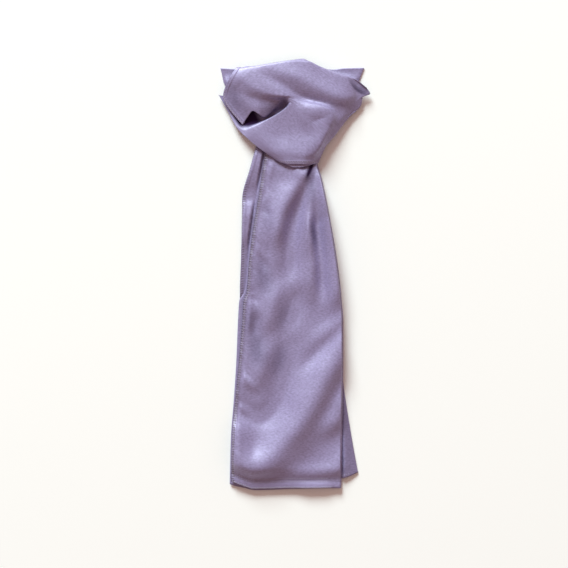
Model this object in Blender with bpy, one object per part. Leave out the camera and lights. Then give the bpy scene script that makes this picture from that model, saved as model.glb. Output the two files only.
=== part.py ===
"""A satin scarf, folded lengthwise, knotted and laid flat.

The scarf lies on a surface with the knot at +Y and the hems of its tails at -Y. +Z is up.
It is one long strip folded in half along its length, so each tail is an under layer, a soft
fold on the right and an upper layer, and its two hems lie on each other at the left. The neck
loop is pressed flat under the knot, and a wide band of the same cloth wraps over the knot.
Tables are in millimetres, from the centre of the laid scarf. The script works in metres.
"""

import math

import bmesh
import bpy
import numpy as np

MM = 0.001

# Cloth and the way it is stacked, in millimetres
WALL = 1.2            # cloth wall
GAP = 0.3             # between two layers
HEM_STEP = 4.5        # how far the band's under hem shows below its upper hem
ROUND_RADIUS = WALL + GAP / 2.0   # outside of a pressed fold
FOLDED = 2.0 * ROUND_RADIUS       # height of two pressed layers
FRONT_Z = FOLDED + GAP            # the front tail lies on the back tail
CORE_Z = FOLDED + GAP             # the knot's hidden layers lie on the neck loop
LOOP_START = 290.0                # the neck loop's upper edge
TAIL_START = 174.0                # the front tail's upper end, under the knot band
BACK_START = 186.0                # the back tail's upper end
LOOP_END = 187.0                  # the neck loop's lower end

# Mesh density: points across and along each piece
FRONT_COLUMNS, FRONT_UNDER_COLUMNS, FRONT_ROWS = 25, 7, 37
BACK_COLUMNS, BACK_UNDER_COLUMNS, BACK_ROWS = 12, 5, 23
FOLD_STEPS = 4
BAND_COLUMNS, BAND_ROWS = 31, 37
HEM_ROWS = 5
LOOP_COLUMNS, LOOP_ROWS = 17, 9
CORE_COLUMNS, CORE_ROWS = 21, 15

# Edges of the front tail's upper layer: y, left hem, right fold
FRONT_EDGES = (
    (175.0, -39.5, 29.5),
    (152.0, -43.5, 32.5),
    (107.0, -50.5, 44.2),
    (59.0, -58.5, 53.3),
    (15.0, -63.8, 60.3),
    (-24.0, -66.8, 65.0),
    (-36.0, -71.2, 65.9),
    (-61.0, -72.8, 68.0),
    (-122.0, -77.8, 68.2),
    (-174.0, -82.9, 67.6),
    (-216.0, -86.4, 66.8),
    (-266.0, -88.0, 66.4),
    (-301.0, -88.6, 65.2),
)
# Left hem of the front tail's under layer: y, left hem
FRONT_UNDER_HEM = (
    (175.0, -41.5),
    (59.0, -61.5),
    (-24.0, -70.5),
    (-36.0, -77.0),
    (-61.0, -78.7),
    (-122.0, -81.3),
    (-174.0, -84.7),
    (-231.0, -89.0),
    (-301.0, -90.6),
)
# Bottom hems of the front tail: x, upper layer's y, under layer's y
FRONT_BOTTOM = (
    (-91.0, -287.5, -292.5),
    (-84.0, -290.0, -295.0),
    (-66.0, -296.5, -298.8),
    (-58.0, -298.6, -301.2),
    (0.0, -297.6, -299.4),
    (46.0, -297.2, -298.6),
    (66.0, -298.2, -298.4),
)
# Edges of the back tail: y, left hem, right fold
BACK_EDGES = (
    (187.0, -52.0, 22.0),
    (149.5, -62.2, 27.0),
    (107.7, -73.0, 37.0),
    (76.7, -73.8, 43.5),
    (23.5, -74.8, 52.0),
    (-24.0, -76.3, 57.5),
    (-90.0, -76.0, 63.0),
    (-145.0, -77.0, 67.8),
    (-231.0, -81.0, 80.6),
    (-285.0, -84.0, 90.5),
)
# Bottom hem of the back tail: x, y
BACK_BOTTOM = (
    (-85.0, -289.0),
    (40.0, -287.0),
    (66.6, -284.6),
    (76.3, -282.0),
    (83.3, -279.0),
    (91.0, -275.0),
)

# Folds of the front tail: name, width, height, and the points that its crest follows (x, y)
FRONT_FOLDS = (
    ("pleat left of the knot", 10.0, 4.2, ((8, 150), (-9, 120), (-22, 96), (-28, 60))),
    ("trough out of the knot", 8.0, -4.0, ((20, 148), (13, 128), (1, 103), (-6, 80), (-12, 40), (-15, 6))),
    ("pleat down the middle", 10.0, 3.8, ((17, 150), (15, 118), (12, 80), (10, 40), (11, 0))),
    ("trough right of the middle", 8.0, -3.4, ((25, 134), (26, 104), (27, 80), (27, 58), (33, 22), (35, -22))),
    ("pleat by the fold", 9.0, 3.0, ((34, 128), (41, 92), (48, 60), (52, 20))),
    ("swell left of the middle", 16.0, 2.8, ((-32, 20), (-22, -8), (-12, -30))),
    ("hollow below the swell", 11.0, -2.6, ((-22, -34), (-12, -54), (-2, -68))),
    ("swell right of the middle", 14.0, 2.6, ((30, -30), (22, -60), (28, -84))),
    ("main slanting fold", 13.0, 5.4,
     ((62, -84), (42, -120), (20, -152), (2, -178), (-11, -210), (-36, -244))),
    ("return of the slanting fold", 10.0, 3.2, ((-34, -246), (-54, -246), (-70, -232), (-82, -214))),
    ("hollow inside the slanting fold", 13.0, -3.2, ((-8, -96), (-28, -140), (-44, -190), (-46, -214))),
    ("hollow under the slanting fold", 11.0, -3.0, ((56, -130), (40, -176), (14, -228), (-22, -266))),
    ("swell by the lower fold", 11.0, 3.2, ((62, -172), (50, -196), (42, -214))),
    ("ridge above the bottom hem", 9.0, 2.4, ((62, -252), (46, -274), (20, -278), (-4, -277))),
    ("pucker by the left hem", 6.0, 2.0, ((-44, 106), (-50, 60), (-56, 8), (-64, -40), (-66, -84))),
    ("lower pucker by the left hem", 7.0, 1.8, ((-72, -122), (-64, -148), (-74, -180))),
)
# Folds of the back tail, where it shows at the left and at the lower right
BACK_FOLDS = (
    ("crease beside the knot", 5.0, 1.6, ((-55, 172), (-62, 140), (-68, 112))),
    ("bend in the left hem", 5.0, 1.8, ((-72, 108), (-64, 92), (-64, 60))),
    ("ridge at the lower right", 6.0, 1.6, ((66, -150), (76, -205), (82, -262))),
)

# The knot band is a surface through these lines, from its top fold to its bottom hem. Each row is
# a line's name, its share of the way down the mesh, and its points from the band's left end to its
# right end: share of the way, x, y, height.
BAND_LINES = (
    ("top fold", 0.00, (
        (0.00, -80.4, 287.8, 9.5), (0.20, -60.0, 289.6, 11.0), (0.40, -27.0, 295.0, 11.0),
        (0.52, -7.0, 298.0, 11.0), (0.62, 12.0, 300.4, 10.0), (0.67, 20.0, 297.0, 10.0),
        (0.75, 38.0, 288.8, 9.0), (0.86, 64.0, 279.4, 8.0), (0.95, 86.0, 271.6, 7.0),
        (1.00, 100.8, 260.5, 6.5))),
    ("shoulder", 0.07, (
        (0.00, -84.4, 282.2, 14.0), (0.20, -61.0, 281.0, 18.5), (0.40, -27.0, 285.5, 20.5),
        (0.52, -8.0, 288.5, 20.5), (0.66, 18.0, 287.0, 19.5), (0.75, 36.0, 280.5, 18.0),
        (0.86, 61.0, 270.5, 16.0), (0.95, 83.0, 263.0, 12.5), (1.00, 102.2, 257.5, 8.0))),
    ("crest above the pouch", 0.20, (
        (0.00, -89.0, 275.2, 16.5), (0.10, -74.0, 277.0, 20.0), (0.20, -59.0, 273.5, 22.5),
        (0.30, -41.0, 266.5, 24.0), (0.42, -19.0, 256.0, 24.5), (0.52, -4.5, 247.0, 23.5),
        (0.65, 19.0, 250.0, 22.0), (0.86, 66.0, 246.0, 18.5), (0.95, 89.0, 250.0, 13.5),
        (1.00, 105.6, 252.6, 9.0))),
    ("flap", 0.34, (
        (0.00, -99.4, 247.4, 12.5), (0.10, -83.0, 250.0, 17.5), (0.20, -64.0, 250.0, 19.5),
        (0.30, -44.0, 247.5, 18.5), (0.42, -22.0, 242.5, 17.0), (0.52, -6.0, 240.0, 21.0),
        (0.65, 19.0, 236.0, 22.5), (0.86, 65.0, 231.0, 17.0), (0.95, 84.0, 239.0, 11.5),
        (1.00, 95.2, 248.6, 8.0))),
    ("lip", 0.47, (
        (0.00, -72.4, 209.2, 15.0), (0.08, -65.5, 219.5, 17.0), (0.17, -57.6, 228.0, 19.5),
        (0.25, -50.0, 224.0, 16.5), (0.32, -42.5, 218.0, 13.0), (0.42, -26.5, 223.0, 10.5),
        (0.52, -8.5, 236.2, 17.0), (0.65, 18.0, 226.0, 22.0), (0.86, 62.0, 221.0, 16.5),
        (0.95, 80.0, 230.0, 10.5), (1.00, 93.4, 238.0, 7.0))),
    ("upper side of the inner turn", 0.55, (
        (0.00, -94.0, 239.0, 11.0), (0.17, -74.0, 245.0, 12.5), (0.32, -50.0, 232.0, 10.5),
        (0.42, -26.2, 221.4, 9.4), (0.52, -7.8, 234.6, 16.6), (0.65, 17.6, 222.0, 22.0),
        (0.86, 60.5, 217.0, 16.2), (0.95, 77.5, 226.0, 10.0), (1.00, 91.0, 233.8, 7.0))),
    ("lower side of the inner turn", 0.61, (
        (0.00, -105.8, 251.2, 7.0), (0.17, -78.0, 247.0, 6.8), (0.32, -51.0, 231.0, 7.2),
        (0.42, -25.6, 220.2, 9.8), (0.52, -7.0, 233.2, 17.4), (0.65, 17.2, 218.5, 21.8),
        (0.86, 59.0, 213.0, 15.8), (0.95, 75.0, 222.0, 9.6), (1.00, 88.4, 230.6, 7.0))),
    ("rim of the pouch", 0.70, (
        (0.00, -81.0, 205.8, 8.0), (0.10, -69.5, 200.6, 10.5), (0.20, -58.0, 204.8, 12.5),
        (0.32, -43.5, 211.8, 14.5), (0.42, -24.6, 217.8, 16.5), (0.52, -5.6, 230.0, 20.0),
        (0.65, 16.4, 212.0, 21.8), (0.86, 55.0, 205.5, 15.2), (0.95, 69.5, 213.0, 9.4),
        (1.00, 78.0, 222.6, 7.0))),
    ("plateau", 0.81, (
        (0.00, -64.4, 188.7, 8.0), (0.10, -57.5, 189.0, 11.5), (0.25, -44.0, 192.5, 15.5),
        (0.42, -22.0, 196.5, 18.5), (0.55, -1.0, 200.0, 20.5), (0.68, 19.0, 194.0, 20.5),
        (0.82, 40.0, 187.5, 17.5), (0.92, 54.0, 192.0, 11.5), (1.00, 62.5, 206.4, 7.0))),
    ("lower plateau", 0.90, (
        (0.00, -47.0, 174.8, 8.6), (0.12, -39.0, 174.5, 12.4), (0.30, -26.0, 176.0, 16.2),
        (0.50, -5.0, 178.5, 18.8), (0.68, 13.0, 175.0, 19.2), (0.82, 28.0, 171.0, 17.0),
        (0.92, 39.0, 174.5, 11.5), (1.00, 48.0, 187.6, 7.0))),
    ("above the hem", 0.97, (
        (0.00, -33.5, 165.6, 9.6), (0.20, -22.0, 161.5, 14.0), (0.45, -4.0, 160.5, 16.6),
        (0.68, 12.0, 160.5, 17.0), (0.85, 24.0, 161.0, 15.0), (1.00, 38.0, 167.4, 8.6))),
    ("bottom hem", 1.00, (
        (0.00, -26.5, 161.2, 10.4), (0.18, -17.0, 156.0, 13.2), (0.40, -5.0, 153.4, 15.4),
        (0.68, 12.0, 153.2, 16.0), (0.85, 22.0, 153.6, 14.2), (1.00, 33.0, 156.0, 9.6))),
)
# Folds pressed into the band: name, width, height, points (x, y). They act on the upper side.
BAND_FOLDS = (
    ("groove across the band", 9.0, -5.0, ((-18, 270), (6, 260), (25, 251), (48, 241), (66, 236), (84, 236))),
    ("swell above the groove", 14.0, 1.8, ((20, 276), (48, 262), (72, 252))),
    ("hollow at the right curl", 6.5, -4.5, ((78, 262), (86, 256), (93, 252))),
    ("edge of the plateau", 9.0, 1.6, ((24, 232), (46, 222), (46, 204), (34, 184), (20, 164))),
    ("hollow above the crest", 8.0, -1.2, ((-70, 268), (-50, 262), (-34, 256))),
)
FLAP_SHARE = 0.44      # share of the way down where the flap ends in the lip
RIM_SHARE = 0.66       # share of the way down where the cloth below the pouch starts
POUCH_END = 0.54       # share of the way along the band where the pouch ends

# Edges of the flattened neck loop: y, left fold, right fold
LOOP_EDGES = (
    (290.0, -104.0, 98.0),
    (280.8, -101.6, 94.2),
    (270.0, -99.4, 90.0),
    (257.0, -93.0, 84.0),
    (240.0, -86.0, 78.0),
    (215.0, -72.0, 60.0),
    (187.0, -50.0, 44.0),
)
# Top edge of the neck loop: x, y
LOOP_TOP = (
    (-104.0, 288.8),
    (-80.0, 287.6),
    (-66.0, 291.6),
    (-56.0, 290.2),
    (-30.0, 288.0),
    (40.0, 287.6),
    (54.0, 286.8),
    (69.0, 288.6),
    (98.0, 289.2),
)
LOOP_CORNER_LIFT = 2.2     # how far the loop's upper layer stands up at its two corners
LOOP_CORNER_REACH = 7.0    # how far from the corner that lift reaches

# The hidden layers inside the knot: y, left side, right side
CORE_EDGES = (
    (283.0, -60.0, 52.0),
    (262.0, -70.0, 68.0),
    (240.0, -72.0, 68.0),
    (220.0, -62.0, 58.0),
    (200.0, -52.0, 46.0),
    (188.0, -42.0, 36.0),
    (176.0, -32.0, 28.0),
)
CORE_CLEAR_REACH = 9.0     # the core stays under the lowest cloth within this distance

PUFF = 2.6                 # air between the layers of a tail, at its middle
EDGE_SOFT = 16.0           # distance over which a tail rises from its edges
UNDER_BAND_PINCH = 0.5     # the share of that height which the knot band presses out
PINCH_START = 118.0        # y where the pressing starts
PINCH_REACH = 42.0         # distance over which it grows

# Colours as red, green, blue in linear light
SATIN_LIT = (0.352, 0.306, 0.482)
SATIN_BAND = (0.330, 0.286, 0.440)
SATIN_SHADE = (0.228, 0.180, 0.270)
SATIN_DEEP = (0.140, 0.095, 0.150)
SATIN_ROUGHNESS = 0.38


def smooth(table, column, at):
    """A smooth curve without overshoot through one column of a table, read at the given places."""
    rows = sorted(table)
    x = np.array([row[0] for row in rows], float)
    y = np.array([row[column] for row in rows], float)
    step = np.diff(x)
    slope = np.diff(y) / step
    tangent = np.zeros(len(x))
    tangent[0] = slope[0]
    tangent[-1] = slope[-1]
    for i in range(1, len(x) - 1):
        if slope[i - 1] * slope[i] > 0.0:
            w1 = 2.0 * step[i] + step[i - 1]
            w2 = step[i] + 2.0 * step[i - 1]
            tangent[i] = (w1 + w2) / (w1 / slope[i - 1] + w2 / slope[i])
    at = np.clip(np.asarray(at, float), x[0], x[-1])
    i = np.clip(np.searchsorted(x, at, side="right") - 1, 0, len(x) - 2)
    h = step[i]
    t = (at - x[i]) / h
    a = (1.0 + 2.0 * t) * (1.0 - t) ** 2
    b = t * (1.0 - t) ** 2
    c = t * t * (3.0 - 2.0 * t)
    d = t * t * (t - 1.0)
    return a * y[i] + b * h * tangent[i] + c * y[i + 1] + d * h * tangent[i + 1]


def fold_heights(folds, x, y):
    """The summed height of soft folds: each is a rounded ridge along its points that fades at both ends."""
    total = np.zeros_like(x)
    for _name, width, height, points in folds:
        path = np.array(points, float)
        lengths = np.hypot(*np.diff(path, axis=0).T)
        whole = lengths.sum()
        best = np.full(x.shape, np.inf)
        share = np.zeros_like(x)
        done = 0.0
        for start, end, length in zip(path[:-1], path[1:], lengths):
            run = (end - start) / length
            along = np.clip((x - start[0]) * run[0] + (y - start[1]) * run[1], 0.0, length)
            away = np.hypot(x - start[0] - along * run[0], y - start[1] - along * run[1])
            nearer = away < best
            best = np.where(nearer, away, best)
            share = np.where(nearer, (done + along) / whole, share)
            done += length
        fade = 0.35 + 0.65 * np.sin(math.pi * np.clip(share, 0.0, 1.0)) ** 0.7
        total += height * fade * np.exp(-(best / width) ** 2)
    return total


def rise(distance, reach):
    """0 at an edge, 1 past the reach, round at both ends."""
    t = np.clip(distance / reach, 0.0, 1.0)
    return np.sin(t * math.pi / 2.0)


def spread(share):
    """Columns that lie closer together at both edges of a layer."""
    return 0.35 * share + 0.65 * (1.0 - math.cos(math.pi * share)) / 2.0


def satin(name, colour):
    """Woven satin as a plain finish."""
    material = bpy.data.materials.new(name)
    material.use_nodes = True
    shader = material.node_tree.nodes["Principled BSDF"]
    shader.inputs["Base Color"].default_value = (*colour, 1.0)
    shader.inputs["Roughness"].default_value = SATIN_ROUGHNESS
    shader.inputs["Metallic"].default_value = 0.0
    return material


def add_wall(name, outer, inner, material, ring=False):
    """One closed body between two grids of points in millimetres; a ring is closed around its columns."""
    rows, columns = outer.shape[:2]
    body = bmesh.new()
    outside = [[body.verts.new(p * MM) for p in row] for row in outer]
    inside = [[body.verts.new(p * MM) for p in row] for row in inner]
    last = columns if ring else columns - 1
    for i in range(rows - 1):
        for j in range(last):
            k = (j + 1) % columns
            body.faces.new((outside[i][j], outside[i][k], outside[i + 1][k], outside[i + 1][j]))
            body.faces.new((inside[i][j], inside[i + 1][j], inside[i + 1][k], inside[i][k]))
    for j in range(last):
        k = (j + 1) % columns
        body.faces.new((outside[0][k], outside[0][j], inside[0][j], inside[0][k]))
        body.faces.new((outside[-1][j], outside[-1][k], inside[-1][k], inside[-1][j]))
    if not ring:
        for i in range(rows - 1):
            body.faces.new((outside[i][0], outside[i + 1][0], inside[i + 1][0], inside[i][0]))
            body.faces.new((outside[i + 1][-1], outside[i][-1], inside[i][-1], inside[i + 1][-1]))
    bmesh.ops.triangulate(body, faces=body.faces[:], quad_method="SHORT_EDGE")
    bmesh.ops.recalc_face_normals(body, faces=body.faces[:])
    mesh = bpy.data.meshes.new(name)
    body.to_mesh(mesh)
    body.free()
    mesh.shade_smooth()
    mesh.set_sharp_from_angle(angle=math.radians(50.0))
    mesh.materials.append(material)
    piece = bpy.data.objects.new(name, mesh)
    bpy.context.scene.collection.objects.link(piece)
    return piece


def front_height(x, y, left, right):
    """Height of the front tail's upper layer: flat at its edges, puffed and folded between them."""
    swell = rise(x - left, EDGE_SOFT) * rise(right - x, EDGE_SOFT)
    end = rise(y - smooth(FRONT_BOTTOM, 1, x), 1.5 * EDGE_SOFT)
    pinch = 1.0 - UNDER_BAND_PINCH * rise(y - PINCH_START, PINCH_REACH)
    folds = fold_heights(FRONT_FOLDS, x, y)
    raised = np.maximum(PUFF * (0.25 + 0.75 * end) + folds * (0.3 + 0.7 * end), 0.0)
    return FRONT_Z + FOLDED + swell * pinch * raised


def back_height(x, y, left, right):
    """Height of the back tail's upper layer, which is pressed flat except where it shows."""
    low = np.maximum(fold_heights(BACK_FOLDS, x, y), 0.0)
    beside_front = rise(smooth(FRONT_UNDER_HEM, 1, y) - 3.0 - x, 6.0) + rise(x - smooth(FRONT_EDGES, 2, y) - 3.0, 6.0)
    return FOLDED + low * np.clip(beside_front, 0.0, 1.0) * rise(x - left, 3.0) * rise(right - x, 3.0)


def folded_tail(name, base, start, edges, under_hem, bottom, under_bottom, height, counts, material):
    """A tail with its under layer flat at the base, a round fold at the right and a shaped upper layer.

    Each section runs from the under layer's hem to the fold and back to the upper layer's hem.
    """
    upper_columns, under_columns, rows = counts
    outer, inner = [], []
    for i in range(rows):
        share = i / (rows - 1)
        outside, inside = [], []

        def place(column_share, hem_column, hem_table, bottom_column):
            """x and y on a layer, at a share of its width, at this section's share of its length."""
            y = np.array(start + (bottom[0][1] - start) * share)
            for _ in range(4):
                left = smooth(hem_table, hem_column, y)
                right = smooth(edges, 2, y) - ROUND_RADIUS
                x = left + (right - left) * column_share
                y = start + (smooth(bottom_column[0], bottom_column[1], x) - start) * share
            return float(x), float(y)

        for j in range(under_columns):
            x, y = place(spread(j / under_columns), *under_hem, under_bottom)
            outside.append((x, y, base))
            inside.append((x, y, base + WALL))
        fold_x, fold_y = place(1.0, 1, edges, (bottom, 1))
        for j in range(FOLD_STEPS + 1):
            turn = math.pi * j / FOLD_STEPS
            for points, radius in ((outside, ROUND_RADIUS), (inside, GAP / 2.0)):
                points.append((
                    fold_x + radius * math.sin(turn),
                    fold_y,
                    base + ROUND_RADIUS - radius * math.cos(turn),
                ))
        for j in range(upper_columns - 1, -1, -1):
            x, y = place(spread(j / upper_columns), 1, edges, (bottom, 1))
            left = smooth(edges, 1, y)
            right = smooth(edges, 2, y) - ROUND_RADIUS
            top = float(height(np.array(x), np.array(y), left, right))
            outside.append((x, y, top))
            inside.append((x, y, top - WALL))
        outer.append(outside)
        inner.append(inside)
    return add_wall(name, np.array(outer), np.array(inner), material)


def band_surface(columns, rows):
    """The middle of the knot band's cloth, as a grid from its top fold to its bottom hem."""
    shares = np.linspace(0.0, 1.0, columns)
    knots = [share for _name, share, _points in BAND_LINES]
    lines = [
        np.stack([smooth(points, column, shares) for column in (1, 2, 3)], axis=-1)
        for _name, _share, points in BAND_LINES
    ]
    across = np.linspace(0.0, 1.0, rows)
    grid = np.zeros((rows, columns, 3))
    for j in range(columns):
        for axis in range(3):
            table = [(knots[k], lines[k][j][axis]) for k in range(len(lines))]
            grid[:, j, axis] = smooth(table, 1, across)
    return grid


def surface_normals(grid):
    """Unit directions across a grid of points, pointing to the cloth's upper side."""
    along = np.gradient(grid, axis=1)
    down = np.gradient(grid, axis=0)
    normal = np.cross(down, along)
    return normal / np.linalg.norm(normal, axis=2, keepdims=True)


def folded_band(columns, rows):
    """The band's surface with its folds pressed in, except where the cloth turns under the flap."""
    grid = band_surface(columns, rows)
    down = np.linspace(0.0, 1.0, rows)[:, None]
    along = np.linspace(0.0, 1.0, columns)[None, :]
    facing_up = np.clip(surface_normals(grid)[:, :, 2], 0.0, 1.0)
    open_cloth = np.maximum(rise(FLAP_SHARE - down, 0.08), rise(down - RIM_SHARE, 0.06))
    shown = np.maximum(open_cloth, rise(along - POUCH_END, 0.06))
    edges = rise(down, 0.10) * rise(1.0 - down, 0.08)
    grid[:, :, 2] += fold_heights(BAND_FOLDS, grid[:, :, 0], grid[:, :, 1]) * facing_up * shown * edges
    return grid


def add_knot_band(material, under_material):
    """The wide band in front of the knot, and the hem of its under layer that shows below it."""
    middle = folded_band(BAND_COLUMNS, BAND_ROWS)
    out = surface_normals(middle) * (WALL / 2.0)
    add_wall("knot_band", middle + out, middle - out, material)
    strip = (middle - 2.0 * out - surface_normals(middle) * GAP)[-HEM_ROWS:]
    last = strip[-1]
    direction = last - strip[-2]
    direction[:, 2] = 0.0
    direction /= np.linalg.norm(direction, axis=1, keepdims=True)
    ends = np.sin(np.linspace(0.0, math.pi, BAND_COLUMNS))[:, None]
    strip = np.concatenate([strip, (last + direction * HEM_STEP * (0.25 + 0.75 * ends))[None]])
    strip = strip[:, 3:-3]
    out = surface_normals(strip) * (WALL / 2.0)
    add_wall("knot_band_under_hem", strip + out, strip - out, under_material)
    return middle


def add_neck_loop(material):
    """The neck loop, pressed flat: two layers joined by a fold at each side."""
    outer, inner = [], []
    for i in range(LOOP_ROWS):
        share = i / (LOOP_ROWS - 1)
        outside, inside = [], []

        def place(column_share):
            """x and y at a share of the loop's width."""
            y = np.array(LOOP_START + (LOOP_END - LOOP_START) * share)
            for _ in range(4):
                left = smooth(LOOP_EDGES, 1, y) + ROUND_RADIUS
                right = smooth(LOOP_EDGES, 2, y) - ROUND_RADIUS
                x = left + (right - left) * column_share
                top = smooth(LOOP_TOP, 1, x)
                y = top + (LOOP_END - top) * share
            return float(x), float(y)

        for j in range(LOOP_COLUMNS):
            x, y = place(j / (LOOP_COLUMNS - 1))
            outside.append((x, y, 0.0))
            inside.append((x, y, WALL))
        x, y = place(1.0)
        for j in range(1, FOLD_STEPS):
            turn = math.pi * j / FOLD_STEPS
            for points, radius in ((outside, ROUND_RADIUS), (inside, GAP / 2.0)):
                points.append((x + radius * math.sin(turn), y, ROUND_RADIUS - radius * math.cos(turn)))
        for j in range(LOOP_COLUMNS - 1, -1, -1):
            x, y = place(j / (LOOP_COLUMNS - 1))
            left, right = place(0.0)[0], place(1.0)[0]
            side = min(x - left, right - x)
            lift = LOOP_CORNER_LIFT * math.exp(-((side - 5.0) / LOOP_CORNER_REACH) ** 2)
            lift *= min(1.0, side / 4.0) * max(0.0, 1.0 - share * 2.0)
            outside.append((x, y, FOLDED + lift))
            inside.append((x, y, FOLDED - WALL + lift))
        x, y = place(0.0)
        for j in range(FOLD_STEPS - 1, 0, -1):
            turn = math.pi * j / FOLD_STEPS
            for points, radius in ((outside, ROUND_RADIUS), (inside, GAP / 2.0)):
                points.append((x - radius * math.sin(turn), y, ROUND_RADIUS - radius * math.cos(turn)))
        outer.append(outside)
        inner.append(inside)
    add_wall("neck_loop", np.array(outer), np.array(inner), material, ring=True)


def add_knot_core(band, material):
    """The gathered layers inside the knot, one rounded solid just under the band's lowest cloth."""
    cloth = band.reshape(-1, 3)
    top, under = [], []
    low, high = CORE_EDGES[-1][0], CORE_EDGES[0][0]
    for i in range(CORE_ROWS):
        y = high + (low - high) * i / (CORE_ROWS - 1)
        left, right = smooth(CORE_EDGES, 1, y), smooth(CORE_EDGES, 2, y)
        upper_row, under_row = [], []
        for j in range(CORE_COLUMNS):
            x = left + (right - left) * j / (CORE_COLUMNS - 1)
            near = np.hypot(cloth[:, 0] - x, cloth[:, 1] - y) < CORE_CLEAR_REACH
            limit = cloth[near, 2].min() - WALL / 2.0 - 1.0
            upper_row.append((x, y, max(limit, CORE_Z + WALL)))
            under_row.append((x, y, CORE_Z))
        top.append(upper_row)
        under.append(under_row)
    add_wall("knot_core", np.array(top), np.array(under), material)


def centre_all():
    """Moves every piece so that the laid scarf's centre is at x = y = 0 and its underside at z = 0."""
    pieces = [piece for piece in bpy.context.scene.objects if piece.type == "MESH"]
    corners = np.array([vertex.co[:] for piece in pieces for vertex in piece.data.vertices])
    low, high = corners.min(axis=0), corners.max(axis=0)
    shift = np.array(((low[0] + high[0]) / 2.0, (low[1] + high[1]) / 2.0, low[2]))
    for piece in pieces:
        for vertex in piece.data.vertices:
            vertex.co = np.array(vertex.co[:]) - shift


def main():
    for old in list(bpy.data.objects):
        bpy.data.objects.remove(old, do_unlink=True)
    lit = satin("satin, lit", SATIN_LIT)
    band = satin("satin, band", SATIN_BAND)
    shade = satin("satin, shaded", SATIN_SHADE)
    deep = satin("satin, inside the knot", SATIN_DEEP)

    folded_tail(
        "back_tail", 0.0, BACK_START, BACK_EDGES, (1, BACK_EDGES), BACK_BOTTOM, (BACK_BOTTOM, 1),
        back_height, (BACK_COLUMNS, BACK_UNDER_COLUMNS, BACK_ROWS), shade,
    )
    folded_tail(
        "front_tail", FRONT_Z, TAIL_START, FRONT_EDGES, (1, FRONT_UNDER_HEM), FRONT_BOTTOM, (FRONT_BOTTOM, 2),
        front_height, (FRONT_COLUMNS, FRONT_UNDER_COLUMNS, FRONT_ROWS), lit,
    )
    middle = add_knot_band(band, shade)
    add_neck_loop(shade)
    add_knot_core(middle, deep)
    centre_all()


main()
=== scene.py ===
"""A lilac satin scarf, folded lengthwise, knotted and laid flat: its cloth, hems, stitches and light.

Sizes are in millimetres in the scarf's own frame, +Y towards the knot and +Z up from the surface,
and those that a user would change are in metres in the property groups. A pair that says how a
value grows is (from, reach), and a window is (from, reach, until, reach).
"""
import math

import bpy
import numpy as np
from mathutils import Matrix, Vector, noise


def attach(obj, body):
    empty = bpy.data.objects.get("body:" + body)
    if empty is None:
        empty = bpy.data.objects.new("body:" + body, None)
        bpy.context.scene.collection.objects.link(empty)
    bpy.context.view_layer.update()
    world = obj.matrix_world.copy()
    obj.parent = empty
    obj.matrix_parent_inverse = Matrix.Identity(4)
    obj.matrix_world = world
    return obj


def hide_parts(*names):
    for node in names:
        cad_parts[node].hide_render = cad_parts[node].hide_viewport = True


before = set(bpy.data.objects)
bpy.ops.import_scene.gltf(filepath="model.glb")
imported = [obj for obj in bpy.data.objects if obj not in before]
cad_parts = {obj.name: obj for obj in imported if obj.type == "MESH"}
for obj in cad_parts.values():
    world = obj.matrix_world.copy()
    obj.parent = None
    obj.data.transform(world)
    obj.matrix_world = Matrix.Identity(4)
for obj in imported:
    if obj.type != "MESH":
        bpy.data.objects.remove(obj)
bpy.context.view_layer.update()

bl_info = {
    "name": "Laid Satin Scarf",
    "version": (1, 0, 0),
    "blender": (4, 5, 0),
    "location": "3D View > Sidebar > Scarf",
    "description": "Makes the cloth, hems and stitches of a knotted satin scarf that lies flat",
    "category": "Add Mesh",
}

MM = 0.001
BODY = "root"

# How the cloth is stacked, as in the solids
WALL = 1.2
GAP = 0.3
ROUND_RADIUS = WALL + GAP / 2.0
FOLDED = 2.0 * ROUND_RADIUS
FRONT_Z = FOLDED + GAP
# The lowest layers lie this far above the surface
CLEAR_OF_FLOOR = 0.08
# Where each tail starts under the knot, and the neck loop's two ends
TAIL_START = 174.0
BACK_START = 186.0
LOOP_START = 290.0
LOOP_END = 187.0

# Columns of a tail's upper and under layer, steps round its fold, and rows down
FRONT_COUNTS = (104, 24, 9, 300)
BACK_COUNTS = (60, 16, 9, 240)
# Columns and rows of the knot band, fine for the cloth and coarse to lay the inside under it
BAND_COUNTS = (170, 240)
BAND_COARSE = (100, 140)
# Rows and columns of the neck loop and steps round its folds, rows and columns of the knot's inside
LOOP_COUNTS = (90, 170, 9)
INSIDE_COUNTS = (70, 90)
# How strongly columns are drawn to both edges, on a tail and on the neck loop
TAIL_EASE = 0.65
LOOP_EASE = 0.8
# Rounds it takes for the edges of a layer and its end to agree
EDGE_ROUNDS = 6

# The front tail's upper layer stands this far off the fold beneath. It rises over this width from
# its hem, where it starts at a share of that height, and over a short width from its right fold.
PUFF = 2.6
EDGE_SOFT = 13.0
HEM_LIFT = 0.65
RIGHT_FOLD_SOFT = 1.6
# Its bottom hem lies flat up to here; above it the height grows over a reach from shares of the
# puff and of the folds
HEM_BAND = 11.0
HEM_BAND_REACH = 19.5
END_PUFF = 0.25
END_FOLDS = 0.3
# The bottom hem curls up by this share of the distance to its edge, and more right of the middle
HEM_CURL = 0.14
HEM_CURL_MORE = 0.28
HEM_CURL_WINDOW = (-4.0, 24.0, 60.0, 24.0)
# The knot presses the tail down by a share, and the right end of its hem does so more
UNDER_BAND_PINCH = 0.10
PINCH = (118.0, 42.0)
CORNER_PRESS = 0.55
CORNER_PRESS_ACROSS = (2.0, 12.0)
CORNER_PRESS_ALONG = (134.0, 24.0)
# All folds of the front tail are this much higher than their rows say
FOLD_GAIN = 1.25
# A fold grows and dies away over this length at its ends, or over a share of a short fold
FADE_REACH = 42.0
FADE_SHARE = 0.45
# How often the heights of the folds are evened
FRONT_EVENED = 14
HEM_EVENED = 3
LOOP_EVENED = 2
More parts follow.
